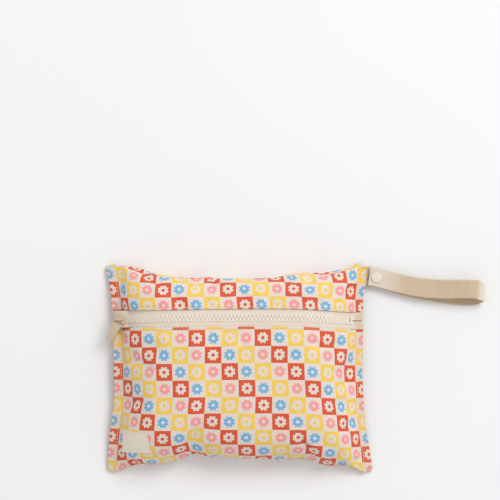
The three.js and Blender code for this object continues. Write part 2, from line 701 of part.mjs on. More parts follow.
// The pull in its own plane: x along the loop's bar, y towards the round end.
function pull() {
  const half = PULL_THICKNESS / 2;
  const angle = THREE.MathUtils.degToRad(PULL_ANGLE);
  const postCorner = (BRIDGE_LENGTH / 2) * Math.sin(angle) + (BRIDGE_WIDTH / 4) * Math.cos(angle);
  const holeHalf = postCorner + GAP;
  const headHalf = holeHalf + PULL_BAR;
  const barTop = BAR_LOW + BRIDGE_BAR - HINGE_UP;
  const barReach = (BRIDGE_LENGTH / 2) * Math.cos(angle) + (BRIDGE_WIDTH / 2) * Math.sin(angle);
  const holeLength = Math.hypot(barTop, barReach) + 2 * GAP;
  const endRadius = PULL_WIDTH / 2;
  const straight = PULL_LENGTH - endRadius;
  const round = 0.8 * PULL_BAR;
  const outline = new THREE.Shape();
  outline.moveTo(-headHalf + round, -PULL_BAR / 2);
  outline.lineTo(headHalf - round, -PULL_BAR / 2);
  outline.absarc(headHalf - round, round - PULL_BAR / 2, round, -Math.PI / 2, 0);
  outline.lineTo(headHalf, holeLength);
  outline.lineTo(endRadius, straight);
  outline.absarc(0, straight, endRadius, 0, Math.PI);
  outline.lineTo(-headHalf, holeLength);
  outline.lineTo(-headHalf, round - PULL_BAR / 2);
  outline.absarc(-headHalf + round, round - PULL_BAR / 2, round, Math.PI, 1.5 * Math.PI);
  const start = PULL_BAR / 2;
  outline.holes.push(roundedBar(-holeHalf, holeHalf, start, holeLength, 0.5 * PULL_BAR));
  const hole = new THREE.Path();
  const holeMiddle = straight - 2 * GAP;
  hole.absellipse(0, holeMiddle, PULL_HOLE.width / 2, PULL_HOLE.length / 2, 0, 2 * Math.PI);
  outline.holes.push(hole);
  return slab(outline, -half, half, 6);
}

// The webbing as a four-sided band along its route, grown on all sides for the seam's pocket.
const TAIL_V = shares(RIGHT_SEAM, BAG_HEIGHT * STRAP_UP)[1];
const TAIL = edgePoint(1, TAIL_V, 1, 0);

function strapCurve(rows) {
  const levels = { floor: 0, edge: TAIL.z, under: SNAP.lowerStrap, over: SNAP.upperStrap };
  const points = rows.map(
    (row) =>
      new THREE.Vector3(
        TAIL.x + row.run * STRAP_RUN,
        BAG_HEIGHT * STRAP_UP + row.side * STRAP_RUN,
        levels[row.from] + row.lift * STRAP_THICKNESS,
      ),
  );
  return new THREE.CatmullRomCurve3(points, false, "centripetal");
}

function band(rows, steps, grow) {
  const route = strapCurve(rows);
  const places = Array.from({ length: steps + 1 }, (_, i) => i / steps);
  const last = rows.length - 1;
  return loft(
    places.map((t) => {
      const middlePoint = route.getPoint(t);
      const along = route.getTangent(t);
      const row = t * last;
      const lean = lerp(rows[Math.floor(row)].lean, rows[Math.ceil(row)].lean, row % 1);
      const heading = headingAt(middlePoint.x);
      const wide = new THREE.Vector3(-heading, 1, lean).normalize();
      wide.addScaledVector(along, -wide.dot(along)).normalize();
      const thick = wide.clone().cross(along).normalize();
      const [w, h] = [STRAP_WIDTH / 2 + grow, STRAP_THICKNESS / 2 + grow];
      const corner = (a, b) =>
        middlePoint.clone().addScaledVector(wide, a * w).addScaledVector(thick, b * h);
      return [corner(-1, 1), corner(1, 1), corner(1, -1), corner(-1, -1)];
    }),
  );
}

// The webbing's heading on the plan, as a slope, the same for both layers.
const HEADINGS = [
  { run: -0.05, slope: 0.0 },
  { run: 0.06, slope: -0.14 },
  { run: 0.22, slope: -0.3 },
  { run: 0.45, slope: -0.21 },
  { run: 0.67, slope: -0.08 },
  { run: 0.83, slope: 0.0 },
  { run: 1.05, slope: 0.03 },
];

function headingAt(x) {
  return curve(HEADINGS, "run", "slope", (x - TAIL.x) / STRAP_RUN);
}

// The pocket for the tail: the first stretch of the route, a little larger all round.
function strapPocket() {
  const [inner, outer] = STRAP_ROUTE;
  const deeper = { ...inner, run: inner.run - GAP / STRAP_RUN, lift: inner.lift + 0.1 };
  const away = { ...outer, run: 0.012, lift: outer.lift - 0.55 };
  return band([deeper, outer, away], 2, GAP);
}

// A round piece turned about the upright axis, from its outline of radius and height.
function turned(outline, sides = 16) {
  const points = outline.map(([r, z]) => new THREE.Vector2(r, z));
  return new THREE.LatheGeometry(points, sides).rotateX(Math.PI / 2);
}

// Heights of the snap's pieces above the surface, from the lower cap up.
const SNAP = (() => {
  const z = { backCap: 0 };
  z.lowerStrap = z.backCap + SNAP_CAP + GAP;
  z.stud = z.lowerStrap + STRAP_THICKNESS + GAP;
  z.socket = z.stud + SNAP_FLANGE + GAP;
  z.upperStrap = z.socket + SNAP_SOCKET + GAP;
  z.frontCap = z.upperStrap + STRAP_THICKNESS + GAP;
  return z;
})();

// A cap with the pin that goes through the webbing, its rim rolled over.
function snapCap(up) {
  const r = SNAP_WIDTH / 2;
  const pin = SNAP_PIN / 2;
  const reach = STRAP_THICKNESS + 2 * GAP + PIN_SEAT;
  const cap = turned([
    [0, -reach],
    [pin, -reach],
    [pin, 0],
    [r * 0.91, 0],
    [r, SNAP_CAP * 0.33],
    [r * 0.95, SNAP_CAP * 0.67],
    [r * 0.55, SNAP_CAP * 0.96],
    [0, SNAP_CAP],
  ]);
  return up ? cap : cap.rotateX(Math.PI).translate(0, 0, SNAP_CAP);
}

// The stud: a seat with a blind hole for the cap's pin, and a boss on top.
function snapStud() {
  const [seat, boss, pin] = [SNAP_SEAT / 2, SNAP_BOSS / 2, SNAP_PIN / 2 + GAP];
  const bossTop = SNAP_FLANGE + GAP + SNAP_SOCKET - PIN_SEAT - 2 * GAP;
  return turned([
    [0, PIN_SEAT + GAP],
    [pin, PIN_SEAT + GAP],
    [pin, 0],
    [seat, 0],
    [seat, SNAP_FLANGE],
    [boss, SNAP_FLANGE],
    [boss, bossTop],
    [0, bossTop],
    [0, PIN_SEAT + GAP],
  ]);
}

// The socket: a ring round the boss, with a narrower hole for the other cap's pin.
function snapSocket() {
  const [seat, boss, pin] = [SNAP_SEAT / 2, SNAP_BOSS / 2 + GAP, SNAP_PIN / 2 + GAP];
  const ledge = SNAP_SOCKET - PIN_SEAT - GAP / 2;
  return turned([
    [boss, 0],
    [seat, 0],
    [seat, SNAP_SOCKET],
    [pin, SNAP_SOCKET],
    [pin, ledge],
    [boss, ledge],
    [boss, 0],
  ]);
}

function strap() {
  const hole = turned([
    [0, -STRAP_THICKNESS],
    [SNAP_PIN / 2 + GAP, -STRAP_THICKNESS],
    [SNAP_PIN / 2 + GAP, SNAP.frontCap + STRAP_THICKNESS],
    [0, SNAP.frontCap + STRAP_THICKNESS],
  ]);
  hole.translate(SNAP_PLACE.x, SNAP_PLACE.y, 0);
  return cut(band(STRAP_ROUTE, STRAP_STEPS, 0), hole);
}

const SNAP_PLACE = new THREE.Vector3(
  TAIL.x + SNAP_AT * STRAP_RUN,
  BAG_HEIGHT * STRAP_UP + SNAP_SIDE * STRAP_RUN,
  0,
);

// The label, laid on the front by its four corners.
function label() {
  const columns = 6;
  const rows = 3;
  const place = (a, b, up) => {
    const right = lerp(LABEL.right_bottom, LABEL.right_top, b);
    const top = lerp(LABEL.top_left, LABEL.top_right, a);
    const x = BAG_WIDTH * lerp(LABEL.left, right, a);
    const y = BAG_HEIGHT * lerp(LABEL.bottom, top, b);
    const steepX = slopeOf((at) => skin(at, y), x, 1);
    const steepY = slopeOf((at) => skin(x, at), y, 1);
    const away = new THREE.Vector3(-steepX, -steepY, 1).normalize();
    return new THREE.Vector3(x, y, skin(x, y)).addScaledVector(away, up);
  };
  const steps = (count) => Array.from({ length: count + 1 }, (_, i) => i / count);
  const [low, high] = [2 * GAP, 2 * GAP + LABEL_THICKNESS];
  return loft(
    steps(columns).map((a) => [
      ...steps(rows).map((b) => place(a, b, high)),
      ...steps(rows).map((b) => place(a, b, low)).reverse(),
    ]),
  );
}

const bag = new THREE.Group();

function piece(name, geometry, colour, parent = bag, roughness = 0.85) {
  const material = new THREE.MeshStandardMaterial({ color: colour, roughness, metalness: 0 });
  const mesh = new THREE.Mesh(geometry, material);
  mesh.name = name;
  parent.add(mesh);
  return mesh;
}

piece("body_cloth", cut(bodyOuter(), bodyHollow(), zipSlot(), strapPocket()), COLOURS.cloth);
piece("zip_tape_upper", tape(1), COLOURS.tape);
piece("zip_tape_lower", tape(-1), COLOURS.tape);

const chainStart = SLIDER_MIDDLE + SLIDER_HALF - 1.2;
const chainEnd = RIGHT_SEAM - CHAIN_END;
const halfSteps = zipSteps(chainStart, chainEnd, TOOTH_PITCH / 2);
const upperTeeth = halfSteps.filter((_, i) => i % 2 === 0);
const lowerTeeth = halfSteps.filter((_, i) => i % 2 === 1);
piece("zip_teeth_upper", comb(1, upperTeeth), COLOURS.teeth, bag, 0.5);
piece("zip_teeth_lower", comb(-1, lowerTeeth), COLOURS.teeth, bag, 0.5);
piece("zip_stop", zipStop(halfSteps.at(-1) + TOOTH_PITCH * 0.6), COLOURS.teeth, bag, 0.5);

const sliderGroup = new THREE.Group();
sliderGroup.position.copy(zipPoint(SLIDER_MIDDLE, 0, 0));
sliderGroup.rotation.y = -THREE.MathUtils.degToRad(SLIDER_TILT);
bag.add(sliderGroup);
piece("zip_slider", slider(), COLOURS.slider, sliderGroup, 0.45);

const pullGroup = new THREE.Group();
pullGroup.position.set(BRIDGE_AT, 0, HINGE_UP);
pullGroup.rotation.z = THREE.MathUtils.degToRad(90 + PULL_ANGLE);
sliderGroup.add(pullGroup);
const pullMesh = piece("zip_pull", pull(), COLOURS.slider, pullGroup, 0.45);
pullMesh.rotation.x = -THREE.MathUtils.degToRad(PULL_DROP);

piece("strap", strap(), COLOURS.webbing);
[
  ["snap_cap_back", snapCap(false), SNAP.backCap],
  ["snap_stud", snapStud(), SNAP.stud],
  ["snap_socket", snapSocket(), SNAP.socket],
  ["snap_cap_front", snapCap(true), SNAP.frontCap],
].forEach(([name, geometry, height]) => {
  const mesh = piece(name, geometry, COLOURS.snap, bag, 0.4);
  mesh.position.set(SNAP_PLACE.x, SNAP_PLACE.y, height);
});

piece("label", label(), COLOURS.label);

export default bag;
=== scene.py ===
# %% [markdown]
# This scene dresses a small zipped wet bag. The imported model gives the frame: where each piece is,
# how large it is and what moves. Everything made here is in metres, in that same frame, so a piece
# needs no fitting. The sizes below repeat the named sizes of the part's source, in millimetres.

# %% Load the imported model
import math

import bmesh
import bpy
import numpy as np
from mathutils import Matrix, Vector


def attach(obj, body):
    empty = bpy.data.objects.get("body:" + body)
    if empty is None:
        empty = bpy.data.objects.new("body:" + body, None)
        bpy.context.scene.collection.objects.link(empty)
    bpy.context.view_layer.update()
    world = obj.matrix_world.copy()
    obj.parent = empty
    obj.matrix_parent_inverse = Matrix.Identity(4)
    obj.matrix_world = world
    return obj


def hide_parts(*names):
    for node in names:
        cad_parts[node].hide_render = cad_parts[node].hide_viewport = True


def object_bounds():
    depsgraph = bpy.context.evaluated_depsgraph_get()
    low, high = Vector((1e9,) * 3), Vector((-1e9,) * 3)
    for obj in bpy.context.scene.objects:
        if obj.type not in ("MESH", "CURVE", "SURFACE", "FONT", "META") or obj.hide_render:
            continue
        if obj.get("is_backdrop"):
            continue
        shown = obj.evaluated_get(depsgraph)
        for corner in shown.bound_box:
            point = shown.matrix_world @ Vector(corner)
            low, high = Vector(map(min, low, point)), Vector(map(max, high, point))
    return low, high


MM = 0.001
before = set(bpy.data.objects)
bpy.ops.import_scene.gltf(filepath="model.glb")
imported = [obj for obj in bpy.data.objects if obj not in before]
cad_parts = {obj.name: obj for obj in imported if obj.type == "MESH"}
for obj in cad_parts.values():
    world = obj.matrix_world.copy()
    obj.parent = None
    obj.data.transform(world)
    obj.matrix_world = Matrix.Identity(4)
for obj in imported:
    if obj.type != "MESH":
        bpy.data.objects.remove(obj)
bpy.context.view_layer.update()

# %% [markdown]
# The photograph was taken from straight above with a long lens, so there is hardly any perspective.
# A camera two metres up with a narrow view gives the same picture. One pixel is then one
# millimetre at the height of the side seams.

# %% Camera
VIEW_MIDDLE = (12, 118)  # under the middle of the picture
VIEW_WIDTH = 500  # the field at the height of the side seams
SEAM_LEVEL = 16
CAMERA_RISE = 2000
SENSOR = 36

bpy.ops.object.select_all(action="DESELECT")
bpy.ops.object.camera_add(
    location=(VIEW_MIDDLE[0] * MM, VIEW_MIDDLE[1] * MM, (CAMERA_RISE + SEAM_LEVEL) * MM),
    rotation=(0, 0, 0),
)
camera = bpy.context.object
camera.name = "camera"
camera.data.sensor_width = SENSOR
camera.data.lens = SENSOR * CAMERA_RISE / VIEW_WIDTH
camera.data.clip_end = 20
bpy.context.scene.camera = camera
print("lens", camera.data.lens, "mm")

# %% [markdown]
# A material is a small tree of nodes. Writing it node by node is long, so one class wraps an output
# socket and lets Python's own operators add the Math nodes, and another holds the material and
# makes any other node from its settings and inputs.

# %% Shader sums in Python
class Wire:
    """A value that runs through a material's nodes."""

    def __init__(self, finish, socket):
        self.finish = finish
        self.socket = socket

    def math(self, operation, *values):
        return self.finish.node("ShaderNodeMath", {"operation": operation}, dict(enumerate(values)))

    def __add__(self, other):
        return self.math("ADD", self, other)

    def __sub__(self, other):
        return self.math("SUBTRACT", self, other)

    def __rsub__(self, other):
        return self.math("SUBTRACT", other, self)

    def __mul__(self, other):
        return self.math("MULTIPLY", self, other)

    def __truediv__(self, other):
        return self.math("DIVIDE", self, other)

    def __pow__(self, other):
        return self.math("POWER", self, other)

    def __abs__(self):
        return self.math("ABSOLUTE", self)

    __radd__ = __add__
    __rmul__ = __mul__

    def floor(self):
        return self.math("FLOOR", self)

    def even(self):
        """0 for an even whole number and 1 for an odd one."""
        return self.math("FLOORED_MODULO", self, 2)

    def wave(self):
        return self.math("SINE", self)

    def clip(self):
        return self.finish.node("ShaderNodeClamp", {}, {0: self})

    def larger(self, other):
        return self.math("MAXIMUM", self, other)


# %% A finish
class Finish:
    """One material, with a Principled shader whose fixed values are given by name."""

    def __init__(self, name, **fixed):
        self.material = bpy.data.materials.new(name)
        self.material.use_nodes = True
        self.tree = self.material.node_tree
        self.shader = next(n for n in self.tree.nodes if n.type == "BSDF_PRINCIPLED")
        for key, value in fixed.items():
            self.shader.inputs[key.replace("_", " ")].default_value = value

    def node(self, kind, settings, inputs, output=0):
        made = self.tree.nodes.new(kind)
        for key, value in settings.items():
            setattr(made, key, value)
        for key, value in inputs.items():
            if isinstance(value, Wire):
                self.tree.links.new(value.socket, made.inputs[key])
            else:
                made.inputs[key].default_value = value
        return Wire(self, made.outputs[output])

    def place(self, source="Object"):
        """The three coordinates of the object, or of its own UV map."""
        where = self.node("ShaderNodeTexCoord", {}, {}, source)
        split = self.node("ShaderNodeSeparateXYZ", {}, {0: where}).socket.node
        return where, *[Wire(self, out) for out in split.outputs]

    def mix(self, share, first, second):
        """One colour for a share of 0, the other for 1."""
        pair = {0: share, 6: first, 7: second}
        return self.node("ShaderNodeMix", {"data_type": "RGBA", "clamp_factor": True}, pair, 2)

    def noise(self, where, scale, detail=2.0, rough=0.5):
        inputs = {"Vector": where, "Scale": scale, "Detail": detail, "Roughness": rough}
        return self.node("ShaderNodeTexNoise", {}, inputs)

    def bump(self, height, depth, strength, under=None):
        inputs = {"Height": height, "Distance": depth, "Strength": strength}
        if under is not None:
            inputs["Normal"] = under
        return self.node("ShaderNodeBump", {}, inputs)

    def paint(self, **inputs):
        for key, value in inputs.items():
            self.tree.links.new(value.socket, self.shader.inputs[key.replace("_", " ")])
        return self.material


def colour(red, green, blue):
    """A colour as the screen shows it, made linear for the shader."""
    shown = [v / 255 for v in (red, green, blue)]
    light = [v / 12.92 if v < 0.04045 else ((v + 0.055) / 1.055) ** 2.4 for v in shown]
    return (*light, 1.0)


# %% [markdown]
# The stage is a plain pale floor under a bright, even sky, with one broad lamp beyond the top fold
# and to the right. It lights the bag's right side more than its left one, as in the photograph, and
# gives the soft shadow that falls below the bottom fold.

# %% Floor and light
FLOOR_SIZE = 6.0
FLOOR_DROP = 0.0003
SKY_STRENGTH = 0.69
LAMP_PLACE = (1.4, 1.9, 2.6)  # it looks at the origin
LAMP_SIZE = 1.6
LAMP_POWER = 60.0

bpy.ops.object.select_all(action="DESELECT")
bpy.ops.mesh.primitive_plane_add(size=FLOOR_SIZE, location=(0, 0, -FLOOR_DROP))
floor = bpy.context.object
floor.name = "floor"
floor_finish = Finish("pale_floor", Roughness=0.9, Specular_IOR_Level=0.2)
floor_where, *_ = floor_finish.place()
floor_tone = floor_finish.noise(floor_where, 3.0)
floor.data.materials.append(
    floor_finish.paint(
        Base_Color=floor_finish.mix(floor_tone, colour(238, 238, 238), colour(242, 242, 242))
    )
)
floor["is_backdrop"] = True

world = bpy.data.worlds.new("even_sky")
bpy.context.scene.world = world
world.use_nodes = True
sky = next(n for n in world.node_tree.nodes if n.type == "BACKGROUND")
sky.inputs["Color"].default_value = (1.0, 1.0, 1.0, 1.0)
sky.inputs["Strength"].default_value = SKY_STRENGTH

bpy.ops.object.select_all(action="DESELECT")
bpy.ops.object.light_add(type="AREA", location=LAMP_PLACE)
lamp = bpy.context.object
lamp.name = "lamp_upper_right"
lamp.data.size = LAMP_SIZE
lamp.data.energy = LAMP_POWER
lamp.rotation_euler = (-Vector(LAMP_PLACE)).to_track_quat("-Z", "Y").to_euler()
bpy.context.scene.view_settings.view_transform = "Standard"
print("lamp of", LAMP_POWER, "W at", LAMP_PLACE, "m")

# %% [markdown]
# The bag's form comes from a few short tables of the part's source: where the side seams and the
# folds lie, how high they lie, and where the front has dents. A smooth curve through each column
# gives every place between. Here the same sums run on whole arrays at once.

# %% The bag's sizes and tables
BAG_WIDTH = 233.0
BAG_HEIGHT = 183.0
BAG_THICKNESS = 50.0
CLOTH = 1.2
EDGE_WIDTH = 9.4
HALF_EDGE = 1.5
EDGE_BULGE = 0.42
GAP = 0.3
CORNER_LIFT = 0.1
LOOP_HELD = (0.82, 0.88)  # up the right side, where it thickens round the webbing's tail
BULGE_SPREAD = 0.25
EDGE_DRAW_IN = 0.02  # how much shorter a sewn edge's outer side is than its seam

# Each row is a share up the side, then how far out and how high the seam lies there, and how
# steeply the sewn edge falls from it.
LEFT_SIDE = np.array([
    (0.0, 0.026, 0.09, 0.16), (0.07, 0.021, 0.135, 0.2), (0.16, 0.013, 0.185, 0.18),
    (0.25, 0.003, 0.22, 0.15), (0.35, -0.008, 0.245, 0.12), (0.5, -0.006, 0.26, 0.12),
    (0.65, -0.005, 0.26, 0.14), (0.75, -0.003, 0.25, 0.16), (0.85, 0.006, 0.21, 0.2),
    (0.93, 0.018, 0.15, 0.2), (1.0, 0.032, 0.1, 0.18),
])
RIGHT_SIDE = np.array([
    (0.0, 0.041, 0.09, 0.2), (0.07, 0.033, 0.14, 0.42), (0.16, 0.025, 0.195, 0.6),
    (0.25, 0.014, 0.235, 0.66), (0.35, 0.008, 0.26, 0.66), (0.5, 0.003, 0.27, 0.66),
    (0.65, 0.006, 0.265, 0.66), (0.75, 0.006, 0.245, 0.64), (0.85, 0.005, 0.205, 0.6),
    (0.93, 0.015, 0.175, 0.55), (1.0, 0.017, 0.15, 0.5),
])
# Each row is a share across, then how far out the bottom and the top fold lie, and how high.
FOLDS = np.array([
    (0.0, 0.068, 0.063, 0.09, 0.1), (0.06, 0.044, 0.051, 0.15, 0.15),
    (0.12, 0.031, 0.038, 0.19, 0.19), (0.18, 0.02, 0.022, 0.22, 0.24),
    (0.25, 0.003, 0.008, 0.26, 0.27), (0.32, -0.028, 0.001, 0.33, 0.28),
    (0.39, -0.01, -0.002, 0.28, 0.28), (0.5, 0.0, -0.003, 0.28, 0.28),
    (0.62, 0.003, 0.0, 0.28, 0.28), (0.72, 0.002, 0.014, 0.28, 0.27),
    (0.78, 0.01, 0.021, 0.26, 0.26), (0.85, 0.028, 0.029, 0.23, 0.22),
    (0.92, 0.039, 0.045, 0.18, 0.18), (1.0, 0.074, 0.067, 0.09, 0.15),
])
# Each dent's middle across and up, its depth, its half length and half width, and its turn.
DENTS = [
    (0.31, 0.07, 0.16, 0.13, 0.035, 62), (0.22, 0.12, -0.05, 0.1, 0.045, 40),
    (0.785, 0.03, 0.07, 0.09, 0.02, 115), (0.86, 0.1, 0.04, 0.12, 0.03, 140),
    (0.16, 0.95, 0.09, 0.1, 0.03, -35), (0.9, 0.9, 0.08, 0.12, 0.03, 48),
    (0.8, 0.97, 0.06, 0.05, 0.03, 80), (0.55, 0.9, 0.025, 0.2, 0.04, 4),
]
# The zip's middle line: a share across, and its share of the height above the bag's middle.
ZIP_LINE = np.array([(0.0, 0.268), (0.35, 0.278), (0.75, 0.279), (1.0, 0.257)])
print("tables with", len(LEFT_SIDE), "rows for a side and", len(FOLDS), "for the folds")


# %% Curves through the tables
def lerp(a, b, t):
    return a + (b - a) * t


def smoothstep(t, low, high):
    s = np.clip((np.asarray(t, float) - low) / (high - low), 0, 1)
    return s * s * (3 - 2 * s)


def curve(keys, values, t):
    """A smooth curve through the values, which may be rows of numbers, at one or many places."""
    t = np.asarray(t, float)
    k = np.clip(np.searchsorted(keys, t, side="left") - 1, 0, len(keys) - 2)
    before = np.maximum(np.arange(len(keys)) - 1, 0)
    after = np.minimum(np.arange(len(keys)) + 1, len(keys) - 1)
    wide = (slice(None),) + (None,) * (values.ndim - 1)
    slope = (values[after] - values[before]) / (keys[after] - keys[before])[wide]
    span = keys[k + 1] - keys[k]
    s = np.clip((t - keys[k]) / span, 0, 1)
    span, s = (np.reshape(x, x.shape + (1,) * (values.ndim - 1)) for x in (span, s))
    a, b = values[k], values[k + 1]
    ma, mb = slope[k] * span, slope[k + 1] * span
    return a + (b - a) * s * s * (3 - 2 * s) + ma * s * (1 - s) ** 2 - mb * s * s * (1 - s)


def side(sign, column, v):
    rows = LEFT_SIDE if sign < 0 else RIGHT_SIDE
    return curve(rows[:, 0], rows[:, ("out", "lift", "fall").index(column) + 1], v)


def fold(column, u):
    names = ("bottom_out", "top_out", "bottom_lift", "top_lift")
    return curve(FOLDS[:, 0], FOLDS[:, names.index(column) + 1], u)


# %% The bag's faces
FOLD_RIM = 0.6  # below 1, the dome rises steeply from the folds
FRONT_SEAM_POWERS = (8.5, 6.5)  # at the left seam and at the right one
FRONT_FOLD_POWER = 6.5
DENT_POWERS = (4, 6)
BACK_POWERS = (5, 5.5)
BACK_DEPTH = 1.35  # as a share of the seams' height in the middle


def plan(u, v):
    """The place on the plan for a share across and one up."""
    left = -BAG_WIDTH * (0.5 + side(-1, "out", v))
    right = BAG_WIDTH * (0.5 + side(1, "out", v))
    bottom = -BAG_HEIGHT * (0.5 + fold("bottom_out", u))
    top = BAG_HEIGHT * (0.5 + fold("top_out", u))
    return lerp(left, right, u), lerp(bottom, top, v)


def middle(u, v):
    """The height of the layer that carries the seams and the folds."""
    seams = lerp(side(-1, "lift", v), side(1, "lift", v), u * u * (3 - 2 * u))
    folds = lerp(fold("bottom_lift", u), fold("top_lift", u), v)
    return BAG_THICKNESS * (seams + folds - CORNER_LIFT)


def dome(u, v, seam_power, fold_power):
    """0 at the seams and folds and 1 inside: high powers keep it flat nearly to its rim."""
    across = 1 - np.abs(2 * u - 1) ** seam_power
    return across * np.maximum(0, 1 - np.abs(2 * v - 1) ** fold_power) ** FOLD_RIM


def dents(u, v):
    total = 0
    for across, up, depth, long, wide, turn in DENTS:
        turn = math.radians(turn)
        dx, dy = u - across, (v - up) * BAG_HEIGHT / BAG_WIDTH
        along = (dx * math.cos(turn) + dy * math.sin(turn)) / long
        off = (dy * math.cos(turn) - dx * math.sin(turn)) / wide
        total = total + depth * BAG_THICKNESS * np.exp(-along * along - off * off)
    return total


CENTRE = float(middle(np.float64(0.5), np.float64(0.5)))
FRONT_RISE = BAG_THICKNESS - HALF_EDGE - CENTRE
BACK_FALL = BACK_DEPTH * CENTRE


def front(u, v):
    rise = FRONT_RISE * dome(u, v, lerp(*FRONT_SEAM_POWERS, u), FRONT_FOLD_POWER)
    sunk = dents(u, v) * dome(u, v, *DENT_POWERS)
    return middle(u, v) + HALF_EDGE + np.maximum(rise - sunk, 0)


def back(u, v):
    return np.maximum(0, middle(u, v) - HALF_EDGE - BACK_FALL * dome(u, v, *BACK_POWERS))


def face_at(u, v, height):
    u, v = np.broadcast_arrays(np.asarray(u, float), np.asarray(v, float))
    return np.stack([*plan(u, v), height(u, v)], axis=-1)


def edge_point(sign, v, s, layer):
    """A place on a sewn edge: s runs from the side seam out, layer from back to front."""
    seam = face_at(0.0 if sign < 0 else 1.0, v, middle)
    fall = side(sign, "fall", v)
    level = np.sqrt(1 - fall * fall)
    held = smoothstep(v, *LOOP_HELD) if sign > 0 else 0
    half = HALF_EDGE * (1 + EDGE_BULGE * held * s**BULGE_SPREAD)
    out = EDGE_WIDTH * s
    return np.stack(
        [
            seam[..., 0] + sign * (out * level + layer * half * fall * s),
            seam[..., 1] * (1 - EDGE_DRAW_IN * s),
            seam[..., 2] - out * fall + layer * half * lerp(1, level, s),
        ],
        axis=-1,
    )


print("front's middle", front(np.float64(0.5), np.float64(0.5)).round(2), "mm high")

# %% [markdown]
# The zip lies across the front, runs straight through the slider and comes down onto the sewn edges
# at both ends. Its path is the base of the tapes, the teeth, the stop and the slider.

# %% The zip's sizes, and heights over the plan
SLOT_WIDTH = 17.4
TAPE_THICKNESS = 1.0
TAPE_ROOM = 0.65  # between the cloth and the tape behind it
TAPE_DEPTH = CLOTH + TAPE_ROOM + TAPE_THICKNESS / 2
CHAIN_WIDTH = 6.6
CHAIN_THICKNESS = 2.8
SLIDER_LENGTH = 11.5
SLIDER_TILT = math.radians(13)


def zip_y(x):
    return BAG_HEIGHT * curve(ZIP_LINE[:, 0], ZIP_LINE[:, 1], np.asarray(x) / BAG_WIDTH + 0.5)


def shares(x, y):
    """The shares across and up of a place on the plan, found by a few rounds of correction."""
    u, v = x / BAG_WIDTH + 0.5, y / BAG_HEIGHT + 0.5
    for _ in range(7):
        px, py = plan(np.clip(u, 0, 1), np.clip(v, 0, 1))
        u = u + (x - px) / BAG_WIDTH - (u - np.clip(u, 0, 1))
        v = v + (y - py) / BAG_HEIGHT
    return u, v


def skin(x, y, height=front):
    """The height of the upper face over a place on the plan, sewn edges included."""
    x, y = np.broadcast_arrays(np.asarray(x, float), np.asarray(y, float))
    v = shares(x, y)[1]
    left, right = face_at(0.0, v, middle), face_at(1.0, v, middle)
    u = np.clip((x - left[..., 0]) / (right[..., 0] - left[..., 0]), 0, 1)
    made = height(u, v)
    for sign, seam in ((-1, left), (1, right)):
        fall = side(sign, "fall", v)
        drop = np.abs(x - seam[..., 0]) * fall / np.sqrt(1 - fall * fall)
        edge = seam[..., 2] - drop + (HALF_EDGE if height is front else 0)
        made = np.where(sign * (x - seam[..., 0]) > 0, edge, made)
    return made


print("chain", CHAIN_WIDTH, "mm wide in an opening of", SLOT_WIDTH, "mm")

# %% The zip's path
LIFT_RUN = 3  # past the slider, where its slope meets the cloth's level
COMES_DOWN = (7, 1)  # before the right seam, where the zip comes down onto the sewn edge
EDGE_ROOM = 0.2
ZIP_V = float(shares(np.float64(0), zip_y(0.0))[1])
LEFT_SEAM = float(face_at(0.0, ZIP_V, middle)[0])
RIGHT_SEAM = float(face_at(1.0, ZIP_V, middle)[0])
LEFT_END = float(edge_point(-1, ZIP_V, 1.0, 0)[0])
RIGHT_END = float(edge_point(1, ZIP_V, 1.0, 0)[0])
SLIDER_MIDDLE = LEFT_SEAM - 0.3
SLIDER_HALF = SLIDER_LENGTH / 2 * math.cos(SLIDER_TILT)
LIFT_OFF = SLIDER_MIDDLE + SLIDER_HALF + LIFT_RUN
EDGE_SEAT = TAPE_THICKNESS / 2 + GAP + EDGE_ROOM


def slope_of(f, x, h):
    return (f(x + h) - f(x - h)) / (2 * h)


def edge_path(x):
    fall = np.where(x < 0, side(-1, "fall", ZIP_V), side(1, "fall", ZIP_V))
    return skin(x, zip_y(x), middle) + EDGE_SEAT / np.sqrt(1 - fall * fall)


def cloth_path(x):
    def face(at):
        return skin(at, zip_y(at))

    low = face(x) - TAPE_DEPTH * np.hypot(1, slope_of(face, x, 2))
    start, end = (RIGHT_SEAM - before for before in COMES_DOWN)
    return lerp(low, edge_path(x), smoothstep(x, start, end))


LIFT_HEIGHT = float(cloth_path(np.float64(LIFT_OFF)))


def raw_path(x):
    line = LIFT_HEIGHT - (LIFT_OFF - x) * math.tan(SLIDER_TILT)
    end = SLIDER_MIDDLE - SLIDER_HALF
    low = lerp(edge_path(x), line, smoothstep(x, LEFT_END + 0.2, end - 0.2))
    return np.where(x > LIFT_OFF, cloth_path(x), low)


def path_height(x):
    x = np.asarray(x, float)
    reach = np.where(x > LIFT_OFF - LIFT_RUN, 2.5, 0.3)
    return sum(raw_path(x + k * reach) for k in (-1, -0.5, 0, 0.5, 1)) / 5


def zip_point(x, w, up):
    """A place by the zip: w across from its middle line, up from the tapes' middle."""
    x = np.asarray(x, float)
    y = zip_y(x)
    steep = slope_of(path_height, x, 0.6)
    scale = up / np.hypot(1, steep)
    free = np.where(x > LIFT_OFF, 0, smoothstep(x, LEFT_END, SLIDER_MIDDLE - SLIDER_HALF))
    bank = (1 - free) * (skin(x, y + w) - skin(x, y))
    return np.stack(
        np.broadcast_arrays(x - scale * steep, y + w, path_height(x) + bank + scale), axis=-1
    )


print("zip from", round(LEFT_END, 1), "to", round(RIGHT_END, 1), "mm")

# %% [markdown]
# The cloth is one sheet that wraps round the bottom and top folds and is sewn flat at both sides.
# A grid suits it: columns run round the bag and rows run from side to side. Steps are small at the
# seams, the folds and the zip, where the cloth bends, and larger where it is smooth.

